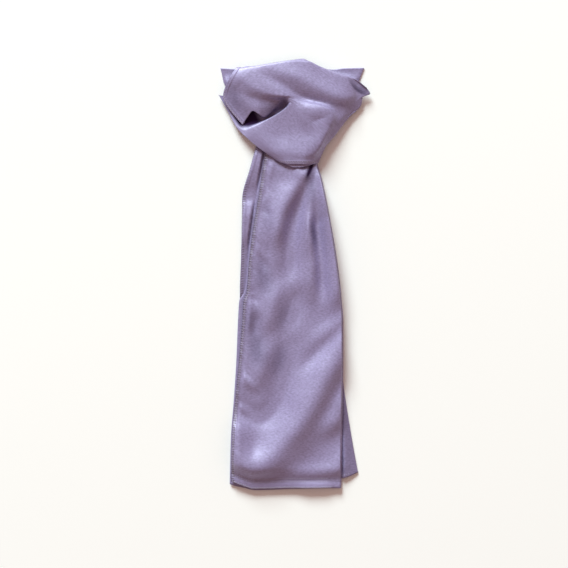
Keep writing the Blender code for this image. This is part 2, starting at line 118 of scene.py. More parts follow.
# A hollow bottoms out softly instead of passing through the layer beneath
FRONT_HOLLOW_EASE = 0.9
LOOP_HOLLOW_EASE = 0.2
# Puckers grow over this reach beside the side hem
PUCKERS_REACH = 5.0
# Fine slanting creases beside the side hem: height, size, reach, slant, how close together, seed
CREASE_HEIGHT = 1.3
CREASE_SIZE = 8.0
CREASE_REACH = 9.0
CREASE_SLANT = 1.1
CREASE_CLOSENESS = 2.6
CREASE_SEED = 5.2
# The upper layer's slow unevenness: height, size, seed
DRAPE = (0.35, 26.0, 1.7)
# At its hems the upper layer comes down onto the under layer over a width, and leaves this gap
HEM_DROP_WIDTH = 6.0
HEM_GAP = 0.9

# A turned hem: width of the step at its inner edge, depth, place and width of its stitched groove,
# how much of the groove is always there, and the waves that the stitches draw into it
HEM_STEP_WIDTH = 1.2
GROOVE_DEPTH = 0.22
GROOVE_PLACE = 0.55
GROOVE_WIDTH = 0.9
GROOVE_LEAST = 0.4
GROOVE_WAVE = 0.9
GROOVE_DRIFT = (2.3, 0.11)
# The bottom hem's relief starts beside the side hem
BOTTOM_RELIEF = (1.0, 4.0)

# The back tail's strips beside the front tail: where they start, how softly, how the corner falls
STRIP_GAP = 0.4
STRIP_SOFT = 2.6
CORNER_GAP = 0.3
CORNER_SOFT = 2.5
CORNER_FALL = 22.0
BACK_HEM_SOFT = 2.0
PRESSED_HEM = 0.6

# Shares of painted shade, mixed into the dye: by the back tail's lower right corner lying in the front
# tail's shade, by the side hem's outer edge rolling under, and by the steep sides of a layer
CORNER_SHADE = 0.24
CORNER_SHADE_ACROSS = (-2.0, 2.0)
CORNER_SHADE_DOWN = (60.0, 30.0)
EDGE_SHADE = 0.34
EDGE_SHADE_ACROSS = (0.6, 1.6)
SIDE_SHADE = 0.38
SIDE_STEEPNESS = (0.05, 0.35)

# Rows of thread: distance between the two rows of the bottom hem, inset of the side hem's zigzag
# as a share of the hem, and the overcast edge: inset and width of its zigzag
BOTTOM_ROWS_APART = 4.2
ZIGZAG_PLACE = 0.4
OVERCAST_INSET = 1.2
OVERCAST_WIDTH = 2.0
# Insets of the back tail's row, of the knot's two rows and of the under hem's row, and the inset
# and width of the flap's zigzag
BACK_ROW_INSET = 4.2
KNOT_ROWS = (4.2, 2.2)
UNDER_HEM_ROW = 2.6
FLAP_ZIGZAG = (1.6, 2.2)
# Which stretch of its line each row of thread runs along, in columns or rows of the grid
SIDE_RUN = slice(None, -6)
BOTTOM_RUN = slice(6, -4)
OVERCAST_RUN = slice(2, -2)
BACK_RUN = slice(2, 40)
KNOT_RUN = slice(16, -8)
UNDER_HEM_RUN = slice(4, -4)
# The flap's zigzag starts at this share of the way down the flap
FLAP_RUN_START = 0.62
# The thread lies this share of its thickness above the cloth, and dips this share on a straight
# row; its unevenness in metres, and the sides of its tube
THREAD_LIFT = 0.05
THREAD_DIP = 1.2
THREAD_UNEVENNESS = 0.00022
THREAD_SIDES = 5
# A thread's direction across is read between two places this far before and after it
INSET_STEP = 0.8
# A zigzag under this width, in metres, is a straight row; the thread's small drift has a fixed seed
STRAIGHT_WIDTH = 0.0002
STITCH_SEED = 7
# Seams: first row of the bottom hem, strength of the painted shade in the grooves and their width, where
# they start
SEAM_FIRST = 1.0
SEAM = (0.5, 1.0)
SEAM_ACROSS = (1.0, 2.0)
KNOT_SEAM = (0.4, 0.7)

# The knot band, in shares of the way down and along: where its flap ends, its rim starts, and its
# pouch ends, over what reach its folds grow past these and past its own edges
FLAP_SHARE = 0.44
FLAP_REACH = 0.08
RIM_SHARE = 0.66
RIM_REACH = 0.06
POUCH_END = 0.54
POUCH_REACH = 0.06
TOP_REACH = 0.10
BOTTOM_REACH = 0.08
BAND_EVENED = (6, 3)
# Where painted shade fills the shut pouch, and where it darkens the half shut groove beside it by a share:
# down and along
POUCH_DOWN = (0.46, 0.06, 0.70, 0.03)
POUCH_ALONG = (0.02, 0.06, 0.36, 0.10)
HALF_SHUT = 0.6
HALF_DOWN = (0.27, 0.26, 0.715, 0.025)
HALF_ALONG = (0.24, 0.14, 0.535, 0.05)
# Depth of the band's hem, and how much stronger the hem of the flap stands out, down to here
BAND_HEM = 5.6
FLAP_HEM_GAIN = 1.6
FLAP_HEM_END = FLAP_SHARE + 0.06
FLAP_STITCH_END = FLAP_SHARE + 0.02
# The under hem: rows and columns it shares with the band, rows and length that show below it,
# least share of that length at its ends, its hem and how strongly that stands out
UNDER_HEM_ROWS = 30
UNDER_HEM_INSET = 16
UNDER_HEM_MORE_ROWS = 10
UNDER_HEM_SHOWS = 4.5
UNDER_HEM_LEAST = 0.25
UNDER_HEM_TURN = 3.4
UNDER_HEM_GAIN = 0.5

# The flattened neck loop: height of its upper layer, width over which it rises from the side
# folds, and how quickly it is pressed flat towards the knot, as a factor on the share of the way
LOOP_PUFF = 1.0
LOOP_EDGE_SOFT = 5.0
LOOP_PRESS = 2.2

# The gathered layers in the knot: reach and distance at which they stay under the band, least
# height, height at the rim, width of the round edge, and the pleats' height, spacing and slant
INSIDE_REACH = 6.0
INSIDE_CLEARANCE = 1.8
INSIDE_LEAST = 0.8
INSIDE_RIM = 0.6
INSIDE_EDGE = 5.0
INSIDE_EVENED = 2
PLEAT_HEIGHT = 0.7
PLEAT_SPACING = 13.0
PLEAT_SLANT = 0.3
PLEAT_DRIFT = (1.5, 30.0, 4.0)
NOTHING_ABOVE = 99.0

# The satin's patterns: drift of the dye some 60 mm across, waves of the press some 9 mm across.
# Its slanting floats and its twill line are drawn 2 and 3.2 mm apart, because the real 0.2 and
# 0.6 mm are too fine to show, and a sewn hem's dimples lie 3.4 mm apart.
DRIFT_SIZE = 60.0
PRESS_SIZE = 9.0
FLOAT_LENGTH = 4.0
FLOAT_WIDTH = 2.0
FLOAT_SLANT = -32.0
TWILL_SPACING = 3.2
TWILL_SHARE = 0.035
DIMPLE_SPACING = 3.4
# Angle in radians that a wave texture of scale 1 turns in each unit, straight and along a diagonal
WAVE_ANGLE = 20.0
SLANTING_WAVE_ANGLE = 14.14
# The thread's twist, and how much darker it is between its turns
TWISTS_PER_METRE = 900.0
THREAD_SHADE = 0.8

# Stage, in metres: half the floor's side, middle of the view, and the window light with its
# colour and the room's as linear values. The camera's sensor is in millimetres.
FLOOR_HALF = 8.0
VIEW_CENTRE = (-0.0146, -0.01295, 0.0)
SENSOR_WIDTH = 36.0
WINDOW_PLACE = (-4.0, 11.6, 6.8)
WINDOW_SIZE = 6.4
WINDOW_COLOUR = (0.80, 0.95, 0.945)
ROOM_COLOUR = (1.0, 0.69, 0.60, 1.0)
PAPER_ROUGHNESS = 0.9

# Edges of the front tail's upper layer: y, left hem, right fold
FRONT_EDGES = (
    (175.0, -39.5, 29.5),
    (152.0, -43.5, 33.0),
    (138.0, -45.6, 37.2),
    (107.0, -50.5, 44.2),
    (59.0, -58.5, 53.3),
    (15.0, -63.8, 60.3),
    (-24.0, -66.8, 65.0),
    (-36.0, -71.2, 65.9),
    (-61.0, -72.8, 68.0),
    (-122.0, -77.8, 68.2),
    (-174.0, -82.9, 67.6),
    (-216.0, -86.4, 66.8),
    (-266.0, -88.0, 66.4),
    (-301.0, -88.6, 65.2),
)
# Left hem of the front tail's under layer: y, left hem
FRONT_UNDER_HEM = (
    (175.0, -41.5),
    (59.0, -61.5),
    (-24.0, -70.5),
    (-36.0, -77.0),
    (-61.0, -78.7),
    (-122.0, -81.3),
    (-174.0, -84.7),
    (-231.0, -89.0),
    (-301.0, -90.6),
)
# Bottom hems of the front tail: x, upper layer's y, under layer's y
FRONT_BOTTOM = (
    (-91.0, -287.5, -292.5),
    (-84.0, -290.0, -295.0),
    (-66.0, -296.5, -298.8),
    (-58.0, -298.6, -301.2),
    (0.0, -297.6, -299.4),
    (46.0, -297.2, -298.6),
    (66.0, -298.2, -298.4),
)
# Edges of the back tail: y, left hem, right fold
BACK_EDGES = (
    (187.0, -52.0, 22.0),
    (149.5, -62.2, 27.0),
    (107.7, -73.0, 37.0),
    (76.7, -73.8, 43.5),
    (23.5, -74.8, 52.0),
    (-24.0, -76.3, 57.5),
    (-90.0, -76.0, 63.0),
    (-145.0, -77.0, 67.8),
    (-231.0, -81.0, 80.6),
    (-285.0, -84.0, 90.5),
)
# Bottom hem of the back tail: x, y
BACK_BOTTOM = (
    (-85.0, -289.0),
    (40.0, -287.0),
    (66.6, -284.6),
    (76.3, -282.0),
    (83.3, -279.0),
    (91.0, -275.0),
)

# Folds of the front tail. Each row: name, width on the left of its run, width on the right,
# height (negative is a trough), and the points that it runs through (x, y).
FRONT_FOLDS = (
    ("pleat left of the knot", 9.0, 19.0, 6.6,
     ((44, 190), (33, 163), (20, 149), (5, 123), (-6, 106), (-15, 90), (-22, 70), (-26, 28))),
    ("left edge of the long trough", 8.0, 9.0, 2.2,
     ((-18, 92), (-22, 66), (-25, 40), (-27, 8), (-26, -14))),
    ("trough out of the knot", 8.0, 9.0, -4.4,
     ((36, 190), (25, 149), (16, 126), (11, 105), (1, 74), (-5, 42), (-4, 11), (-14, -20))),
    ("pleat down the middle", 7.0, 16.0, 5.6,
     ((22, 180), (23, 124), (25, 92), (20, 71), (19, 56), (23, 35), (26, 15), (24, -12), (26, -48))),
    ("trough right of the middle", 9.0, 7.0, -3.6,
     ((27, 190), (26, 150), (28, 105), (32, 70), (34, 42), (37, 15), (39, -14), (40, -52))),
    ("deep fold in that trough", 5.0, 5.0, 4.0, ((18, 92), (20, 66), (23, 38), (27, 20))),
    ("pleat by the fold", 6.0, 12.0, 7.0,
     ((26, 220), (32, 153), (40, 118), (48, 84), (54, 42), (58, -7), (59, -60))),
    ("broad rise on the right", 9.0, 30.0, 7.4,
     ((47, 146), (50, 118), (57, 84), (63, 50), (68, 10), (70, -36), (69, -72))),
    ("short fold beside the knot's corner", 5.0, 6.0, 4.2, ((42, 164), (41, 150), (43, 136), (50, 116))),
    ("slanting crease", 4.0, 4.0, -1.3, ((24, 66), (32, 71), (46, 83), (56, 92))),
    ("swell left of the middle", 9.0, 17.0, 4.8,
     ((-16, 2), (-25, -28), (-31, -50), (-38, -78), (-42, -98))),
    ("hollow beside that swell", 11.0, 8.0, -4.0,
     ((12, -6), (2, -32), (-3, -56), (-14, -80), (-22, -98))),
    ("lower swell left of the middle", 10.0, 16.0, 5.2,
     ((-32, -78), (-37, -98), (-41, -119), (-48, -145), (-58, -172))),
    ("hollow in the bend", 14.0, 12.0, -3.9,
     ((-4, -70), (-10, -100), (-11, -119), (-16, -145), (-20, -164), (-26, -182), (-41, -199), (-59, -198),
      (-74, -186), (-92, -160))),
    ("main slanting fold", 23.0, 26.0, 11.8,
     ((96, -40), (71, -84), (65, -108), (44, -143), (29, -174), (15, -204), (-6, -232), (-28, -258),
      (-51, -270), (-75, -264), (-92, -236), (-106, -190))),
    ("ridge above the slanting fold", 8.0, 9.0, 1.5, ((78, -48), (57, -70), (33, -88), (8, -114))),
    ("hollow above the slanting fold", 9.0, 8.0, -2.8,
     ((86, -50), (65, -75), (43, -98), (22, -119), (0, -146))),
    ("hollow under the slanting fold", 10.0, 9.0, -1.6,
     ((76, -110), (68, -136), (57, -161), (44, -186), (26, -210), (5, -235), (-28, -264))),
    ("swell by the lower fold", 10.0, 14.0, 5.4,
     ((84, -146), (70, -172), (62, -198), (51, -214), (28, -230))),
    ("rise under the knot's hem", 12.0, 10.0, 2.4, ((-46, 152), (-20, 147), (6, 146), (26, 150))),
    ("rise to the bottom hem", 8.0, 17.0, 4.6,
     ((92, -232), (71, -262), (57, -277), (25, -284), (-30, -288))),
)
# Small puckers that the side hem draws into the front tail, in the same columns
HEM_FOLDS = (
    ("ridge under the knot", 4.0, 6.0, 1.2, ((-24, 172), (-31, 152), (-36, 134), (-40, 116))),
    ("pucker under the knot", 4.0, 4.0, -1.0, ((-36, 160), (-38, 147), (-40, 116), (-44, 108))),
    ("short ridge below it", 5.0, 5.0, 0.7, ((-26, 106), (-34, 108), (-42, 104), (-49, 98))),
    ("short hollow below it", 4.0, 5.0, -0.9, ((-50, 100), (-44, 92), (-36, 84), (-28, 80))),
    ("long pucker", 5.0, 5.0, 1.4, ((-58, 50), (-54, 35), (-48, 10), (-46, 0))),
    ("dark pucker", 5.0, 6.0, -2.4, ((-60, 36), (-53, 28), (-45, 16), (-38, 8), (-32, 4))),
    ("ridge above the bend", 5.0, 5.0, 0.9, ((-60, 8), (-54, 0), (-49, -14), (-46, -24))),
    ("pucker at the bend", 5.0, 5.0, -1.8, ((-66, -6), (-60, -22), (-54, -40), (-48, -52))),
    ("ridge under the bend", 6.0, 6.0, 2.6, ((-68, -40), (-66, -52), (-63, -75), (-58, -84))),
    ("ridge above the left hollow", 8.0, 13.0, 1.8, ((-96, -34), (-74, -37), (-57, -44), (-42, -58))),
    ("tuck at the bend", 2.6, 2.6, 2.4, ((-74, -20), (-66, -23), (-60, -27), (-52, -32))),
    ("hollow under the bend", 7.0, 7.0, -2.2, ((-54, -48), (-53, -60), (-54, -78), (-50, -90))),
    ("ridge at half length", 7.0, 6.0, 0.9, ((-72, -92), (-68, -108), (-63, -131), (-58, -142))),
    ("cross ridge", 5.0, 6.0, 2.8, ((-86, -126), (-77, -137), (-67, -148), (-54, -160), (-48, -166))),
    ("lower cross ridge", 5.0, 6.0, 2.0, ((-90, -170), (-80, -181), (-70, -190), (-60, -196))),
)
# Heights of the back tail's strip beside the front tail: y, height above the pressed fold
BACK_STRIP = (
    (187.0, 2.0),
    (176.0, 3.6),
    (165.0, 5.4),
    (152.0, 5.4),
    (135.0, 3.8),
    (112.0, 0.4),
    (107.0, 0.4),
    (96.0, 3.2),
    (80.0, 5.6),
    (58.0, 5.0),
    (34.0, 1.4),
    (8.0, 0.5),
    (-290.0, 0.3),
)
# Heights of the back tail at the lower right: y, height above the pressed fold
BACK_CORNER = (
    (187.0, 0.0),
    (-130.0, 0.4),
    (-200.0, 6.0),
    (-262.0, 6.4),
    (-290.0, 2.4),
)

# The knot band is a surface through these lines, from its top fold to its bottom hem. Each row is
# a line's name, its share of the way down, and its points from the band's left end to its right
# end: share of the way, x, y, height.
BAND_LINES = (
    ("top fold", 0.00, (
        (0.00, -80.4, 287.8, 9.5), (0.20, -60.0, 289.6, 11.5), (0.40, -27.0, 295.0, 12.0),
        (0.52, -7.0, 298.0, 12.0), (0.62, 12.0, 300.4, 11.5), (0.67, 20.0, 297.0, 11.0),
        (0.75, 38.0, 288.8, 10.0), (0.86, 64.0, 279.4, 9.5), (0.95, 86.0, 271.6, 12.0),
        (1.00, 100.8, 260.5, 11.5))),
    ("shoulder", 0.07, (
        (0.00, -81.6, 286.2, 14.4), (0.20, -60.2, 288.0, 18.8), (0.40, -27.0, 293.2, 20.6),
        (0.52, -7.3, 296.2, 20.6), (0.66, 18.2, 295.8, 19.6), (0.75, 37.4, 287.0, 18.2),
        (0.86, 63.2, 277.6, 16.6), (0.91, 75.0, 274.0, 15.4), (0.945, 84.0, 270.6, 10.4),
        (1.00, 101.4, 259.8, 8.8))),
    ("crest above the pouch", 0.20, (
        (0.00, -89.0, 275.2, 15.6), (0.10, -74.0, 273.0, 20.0), (0.20, -59.0, 262.0, 22.2),
        (0.30, -41.0, 255.0, 23.6), (0.42, -22.0, 249.6, 24.0), (0.48, -14.0, 248.4, 23.4),
        (0.52, -8.5, 248.0, 23.0), (0.65, 19.0, 250.0, 22.0), (0.86, 66.0, 248.0, 19.0),
        (0.92, 80.0, 250.0, 15.6), (0.955, 88.0, 251.0, 9.6), (1.00, 105.6, 252.6, 8.0))),
    ("flap", 0.34, (
        (0.00, -99.4, 247.4, 9.4), (0.10, -83.0, 250.0, 13.2), (0.20, -64.0, 246.0, 16.4),
        (0.30, -44.0, 241.5, 16.8), (0.42, -24.0, 242.0, 15.2), (0.48, -16.0, 244.4, 16.4),
        (0.53, -9.6, 246.0, 21.6), (0.65, 19.0, 236.0, 22.5), (0.86, 65.0, 231.0, 17.4),
        (0.95, 84.0, 239.0, 10.6), (1.00, 95.2, 248.6, 7.8))),
    ("lip", 0.47, (
        (0.00, -72.4, 209.2, 8.2), (0.08, -65.5, 219.5, 10.6), (0.17, -57.6, 228.0, 15.2),
        (0.25, -50.0, 224.0, 15.0), (0.32, -42.5, 219.5, 11.6), (0.42, -24.0, 234.6, 11.6),
        (0.48, -15.0, 240.8, 11.6), (0.53, -8.4, 243.8, 20.9), (0.65, 18.0, 226.0, 22.0),
        (0.86, 62.0, 221.0, 16.5), (0.95, 80.0, 230.0, 10.5), (1.00, 93.4, 238.0, 7.0))),
    ("upper side of the inner turn", 0.55, (
        (0.00, -94.0, 239.0, 7.0), (0.17, -74.0, 245.0, 9.4), (0.32, -47.0, 226.0, 7.4),
        (0.42, -22.4, 231.6, 9.6), (0.48, -14.0, 238.6, 10.8), (0.53, -7.4, 242.4, 20.8),
        (0.65, 17.6, 222.0, 22.0), (0.86, 60.5, 217.0, 16.2), (0.95, 77.5, 226.0, 10.0),
        (1.00, 91.0, 233.8, 7.0))),
    ("lower side of the inner turn", 0.61, (
        (0.00, -105.8, 251.2, 5.8), (0.17, -78.0, 247.0, 5.2), (0.32, -46.0, 221.0, 5.4),
        (0.42, -22.2, 228.6, 8.2), (0.48, -13.0, 236.6, 10.2), (0.53, -6.6, 241.0, 20.7),
        (0.65, 17.2, 218.5, 21.8), (0.86, 59.0, 213.0, 15.8), (0.95, 75.0, 222.0, 9.6),
        (1.00, 88.4, 230.6, 7.0))),
    ("floor of the pouch", 0.655, (
        (0.00, -93.0, 228.0, 6.4), (0.10, -76.0, 216.0, 5.6), (0.20, -60.0, 212.6, 5.0),
        (0.32, -43.2, 215.4, 5.4), (0.42, -22.0, 225.6, 8.4), (0.48, -11.6, 234.4, 10.6),
        (0.53, -5.6, 239.6, 20.6), (0.65, 16.8, 215.2, 21.8), (0.86, 57.0, 209.2, 15.5),
        (0.95, 72.2, 217.5, 9.5), (1.00, 83.2, 226.6, 7.0))),
    ("rim of the pouch", 0.70, (
        (0.00, -81.0, 205.8, 9.4), (0.10, -69.5, 201.0, 12.0), (0.20, -58.0, 206.0, 13.8),
        (0.32, -43.0, 213.0, 15.0), (0.42, -22.0, 224.0, 17.8), (0.48, -10.6, 232.2, 19.4),
        (0.53, -4.8, 237.8, 20.6), (0.65, 16.4, 212.0, 21.8), (0.86, 55.0, 205.5, 15.2),
        (0.95, 69.5, 213.0, 9.4), (1.00, 78.0, 222.6, 7.0))),
    ("plateau", 0.81, (
        (0.00, -64.4, 188.7, 12.8), (0.10, -57.5, 189.0, 13.8), (0.25, -44.0, 192.5, 15.8),
        (0.42, -22.0, 195.5, 16.4), (0.55, -1.0, 197.5, 17.6), (0.68, 19.0, 191.0, 19.0),
        (0.82, 40.0, 187.5, 17.5), (0.92, 54.0, 192.0, 11.5), (1.00, 62.5, 206.4, 7.0))),
    ("lower plateau", 0.90, (
        (0.00, -47.0, 174.8, 12.6), (0.12, -39.0, 173.5, 14.4), (0.30, -26.0, 170.4, 17.4),
        (0.50, -5.0, 169.8, 20.2), (0.68, 13.0, 167.8, 20.4), (0.82, 28.0, 168.6, 17.6),
        (0.92, 39.0, 174.5, 11.5), (1.00, 48.0, 187.6, 7.0))),
    ("above the hem", 0.97, (
        (0.00, -33.5, 165.6, 11.4), (0.20, -22.0, 161.5, 15.6), (0.45, -4.0, 160.0, 19.4),
        (0.68, 12.0, 160.0, 19.6), (0.85, 24.0, 160.6, 16.2), (1.00, 38.0, 167.4, 8.6))),
    ("bottom hem", 1.00, (
        (0.00, -26.5, 161.2, 10.6), (0.18, -17.0, 156.0, 14.2), (0.40, -5.0, 153.4, 17.8),
        (0.68, 12.0, 153.2, 18.0), (0.85, 22.0, 153.6, 14.6), (1.00, 33.0, 156.0, 9.4))),
)
# Folds pressed into the band, in the same columns as the front tail's
BAND_FOLDS = (
    ("upper end of the groove", 7.0, 6.5, -2.5,
     ((-54, 284), (-24, 268), (-4, 255), (10, 247), (30, 239))),
    ("groove across the band", 8.0, 10.0, -4.5, ((-10, 257), (10, 246), (26, 240), (40, 236), (60, 232))),
    ("shallow end of the groove", 11.0, 11.0, -2.4, ((36, 236), (62, 229), (84, 229), (108, 236))),
    ("swell above the groove", 12.0, 9.0, 3.0,
     ((-34, 287), (-10, 279), (12, 270), (32, 259), (54, 249), (70, 243), (96, 243))),
    ("roll above the lip", 8.0, 7.0, 1.0,
     ((-76, 228), (-64, 231), (-54, 232), (-42, 229), (-24, 240), (-10, 252))),
    ("edge of the plateau", 5.0, 17.0, 4.6,
     ((-6, 240), (24, 235), (46, 230), (54, 219), (47, 203), (38, 189), (33, 174), (22, 146))),
    ("pressed crease", 1.6, 1.6, 0.3, ((-18, 280), (-16, 250), (-10, 200), (-8, 158))),
)
# Painted shades of the band, mixed into the dye, in the same columns; the number is how much light stays
# away. Two lie where little light reaches, and the last two over open cloth that its folds alone leave too
# light.
BAND_SHADES = (
    ("shade in the right curl", 5.0, 1.4, 0.65,
     ((72, 278), (77, 269), (81, 262), (86, 257), (93, 253), (100, 251), (110, 248))),
    ("shade in the groove", 1.8, 1.8, 0.2,
     ((6, 252), (26, 244), (44, 239), (60, 236), (78, 235), (98, 240))),
    ("shade on the flap", 9.0, 11.0, 0.30, ((-92, 276), (-88, 258), (-82, 242), (-74, 226), (-70, 214))),
    ("shade on the ear", 7.0, 7.0, 0.26, ((86, 270), (94, 262), (101, 255), (106, 248))),
)
# The same painted shade on the front tail: a gap and a deep fold, then soft shades laid over open cloth
FRONT_SHADES = (
    ("gap beside the knot's corner", 2.6, 2.6, 1.3, ((28, 172), (24, 152), (19, 140), (14, 126))),
    ("shade in the deep fold", 4.0, 4.0, 0.45, ((21, 84), (25, 66), (28, 50), (30, 30))),
    ("shade under the knot's corner", 7.0, 7.0, 0.36, ((26, 172), (24, 146), (23, 120), (26, 84))),
    ("shade beside the upper puckers", 8.0, 8.0, 0.20, ((-46, 116), (-39, 94), (-36, 76), (-38, 50))),
    ("shade above the bend", 12.0, 12.0, 0.32, ((-50, 34), (-46, 10), (-42, -12), (-34, -40))),
    ("shade by the left hem", 13.0, 13.0, 0.42, ((-52, -72), (-54, -92), (-52, -112), (-46, -136))),
    ("shade of the upper swell", 8.0, 8.0, 0.22, ((-4, -26), (-13, -46), (-20, -68), (-24, -90))),
    ("shade in the left hollow", 10.0, 10.0, 0.30, ((-52, -34), (-59, -56), (-60, -72), (-50, -98))),
    ("shade of the lower swell", 9.0, 9.0, 0.30, ((-14, -84), (-19, -106), (-21, -122), (-34, -150))),
)
# Folds of the neck loop's two corners
LOOP_FOLDS = (
    ("hollow in the left corner", 6.0, 6.0, -1.6, ((-112, 288), (-98, 281), (-84, 286))),
    ("ridge in the left corner", 7.0, 5.0, 3.4, ((-108, 274), (-98, 268), (-84, 262), (-74, 258))),
    ("hollow in the right corner", 6.0, 6.0, -1.2, ((40, 288), (62, 284), (84, 283), (104, 290))),
    ("ridge in the right corner", 5.0, 6.0, 4.4,
     ((38, 284), (58, 277), (76, 272), (90, 267), (100, 262))),
)

# Edges of the flattened neck loop: y, left fold, right fold
LOOP_EDGES = (
    (290.0, -104.0, 98.0),
    (280.8, -101.6, 94.2),
    (270.0, -99.4, 90.0),
    (257.0, -93.0, 84.0),
    (240.0, -86.0, 78.0),
    (215.0, -72.0, 60.0),
    (187.0, -50.0, 44.0),
)
# Top edge of the neck loop: x, y
LOOP_TOP = (
    (-104.0, 288.8),
    (-80.0, 287.6),
    (-66.0, 291.6),
    (-56.0, 290.2),
    (-30.0, 288.0),
    (40.0, 287.6),
    (54.0, 286.8),
    (69.0, 288.6),
    (98.0, 289.2),
)

# The gathered layers inside the knot: y, left side, right side
INSIDE_EDGES = (
    (283.0, -60.0, 52.0),
    (262.0, -70.0, 68.0),
    (240.0, -72.0, 68.0),
    (220.0, -62.0, 58.0),
    (200.0, -52.0, 46.0),
    (188.0, -42.0, 36.0),
    (176.0, -32.0, 28.0),
)


def linear(hex_colour):
    """sRGB hex to linear red, green, blue."""
    values = [int(hex_colour[i:i + 2], 16) / 255.0 for i in (1, 3, 5)]
    return tuple(v / 12.92 if v <= 0.04045 else ((v + 0.055) / 1.055) ** 2.4 for v in values)


def length(name, description, default):
    """A length in metres that the user can change."""
    return bpy.props.FloatProperty(
        name=name, description=description, default=default, unit="LENGTH", subtype="DISTANCE")


def colour(name, description, hex_colour):
    """A colour that the user can change."""
    return bpy.props.FloatVectorProperty(
        name=name, description=description, default=linear(hex_colour), subtype="COLOR", min=0.0, max=1.0)


class ScarfCloth(bpy.types.PropertyGroup):
    """Sizes of the cloth and its sewing"""

    thickness: length("Cloth", "Thickness of the satin", 0.00045)
    hem_width: length("Side hem", "Width of the turned side hem", 0.0055)
    bottom_hem: length("Bottom hem", "Depth of the turned bottom hem", 0.0135)
    hem_rise: length("Hem rise", "How far a turned hem stands above the cloth", 0.0005)
    stitch_pitch: length("Stitch pitch", "Length of one leg of the zigzag along the hem", 0.0017)
    stitch_width: length("Stitch width", "Width of the zigzag", 0.0030)
    thread: length("Thread", "Thickness of the sewing thread", 0.00055)


class ScarfColours(bpy.types.PropertyGroup):
    """Colours of the satin and the thread"""

    satin: colour("Satin", "Face of the satin", "#9F94C0")
    satin_deep: colour("Satin, deeper", "Where the dye reads deeper", "#8F82AE")
    thread: colour("Thread", "Sewing thread of the hems", "#DAD2EC")
    floor: colour("Floor", "The pale surface", "#FFFFFF")


class ScarfStage(bpy.types.PropertyGroup):
    """Camera and light"""

    camera_height: length("Camera height", "Height of the camera over the surface", 2.2)
    view_width: length("View width", "Width of the picture on the surface", 0.7952)
    key_power: bpy.props.FloatProperty(
        name="Key", description="Power of the large window light", default=3120.0, unit="POWER")
    fill_strength: bpy.props.FloatProperty(
        name="Fill", description="Strength of the warm light from all round", default=0.41)


# Curves and heights


def spline(knots, values, at):
    """A smooth curve without overshoot through values at the knots, read at the given places."""
    knots = np.asarray(knots, float)
    values = np.asarray(values, float)
    wide = (1,) * (values.ndim - 1)
    step = np.diff(knots).reshape(-1, *wide)
    slope = np.diff(values, axis=0) / step
    tangent = np.zeros_like(values)
    tangent[0], tangent[-1] = slope[0], slope[-1]
    before, after = slope[:-1], slope[1:]
    w1, w2 = 2.0 * step[1:] + step[:-1], step[1:] + 2.0 * step[:-1]
    turning = before * after <= 0.0
    safe_before = np.where(turning, 1.0, before)
    safe_after = np.where(turning, 1.0, after)
    tangent[1:-1] = np.where(turning, 0.0, (w1 + w2) / (w1 / safe_before + w2 / safe_after))
    at = np.clip(np.asarray(at, float), knots[0], knots[-1])
    i = np.clip(np.searchsorted(knots, at, side="right") - 1, 0, len(knots) - 2)
    h = (knots[i + 1] - knots[i]).reshape(at.shape + wide)
    t = ((at - knots[i]) / (knots[i + 1] - knots[i])).reshape(at.shape + wide)
    return (
        (1.0 + 2.0 * t) * (1.0 - t) ** 2 * values[i]
        + t * (1.0 - t) ** 2 * h * tangent[i]
        + t * t * (3.0 - 2.0 * t) * values[i + 1]
        + t * t * (t - 1.0) * h * tangent[i + 1]
    )


def column(table, number, at):
    """One column of a table as a smooth curve of its first column."""
    rows = sorted(table)
    return spline([row[0] for row in rows], [row[number] for row in rows], at)


def rise(distance, reach):
    """0 at an edge, 1 past the reach, round where it arrives."""
    return np.sin(np.clip(distance / reach, 0.0, 1.0) * math.pi / 2.0)


def blend(distance, reach):
    """0 at an edge, 1 past the reach, level at both ends."""
    t = np.clip(distance / reach, 0.0, 1.0)
    return t * t * (3.0 - 2.0 * t)


def past(value, start, reach):
    """0 up to the start, 1 a reach further on."""
    return blend(value - start, reach)


def window(value, start, reach, until, until_reach):
    """1 between the start and the end, 0 outside them, with a reach inside each."""
    return blend(value - start, reach) * blend(until - value, until_reach)


def partly(least, share):
    """A share that never falls under the least one."""
    return least + (1.0 - least) * share


def no_lower(heights, ease):
    """Heights kept above 0, with a soft change."""
    return (heights + np.sqrt(heights * heights + ease)) / 2.0


def soft_path(points, times=2):
    """A run of points with its corners cut round."""
    path = np.array(points, float)
    for _ in range(times):
        near = path[:-1] * 0.75 + path[1:] * 0.25
        far = path[:-1] * 0.25 + path[1:] * 0.75
        middle = np.stack([near, far], axis=1).reshape(-1, 2)
        path = np.concatenate([path[:1], middle, path[-1:]])
    return path


def fold_heights(rows, x, y):
    """The summed height of soft folds, each a ridge or trough that fades out at both ends."""
    total = np.zeros_like(x)
    for _name, left_width, right_width, height, points in rows:
        path = soft_path(points)
        lengths = np.hypot(*np.diff(path, axis=0).T)
        whole = lengths.sum()
        best = np.full(x.shape, np.inf)
        share = np.zeros_like(x)
        width = np.full(x.shape, left_width)
        done = 0.0
        for start, end, stretch in zip(path[:-1], path[1:], lengths):
            run = (end - start) / stretch
            dx, dy = x - start[0], y - start[1]
            along = np.clip(dx * run[0] + dy * run[1], 0.0, stretch)
            away = np.hypot(dx - along * run[0], dy - along * run[1])
            on_left = run[0] * dy - run[1] * dx > 0.0
            nearer = away < best
            best = np.where(nearer, away, best)
            share = np.where(nearer, (done + along) / whole, share)
            width = np.where(nearer, np.where(on_left, left_width, right_width), width)
            done += stretch
        reach = min(FADE_REACH, whole * FADE_SHARE)
        fade = blend(share * whole, reach) * blend((1.0 - share) * whole, reach)
        total += height * fade * np.exp(-(best / width) ** 2)
    return total


def grid_folds(rows, grid):
    """The summed height of soft folds over a grid of points."""
    return fold_heights(rows, grid[:, :, 0], grid[:, :, 1])


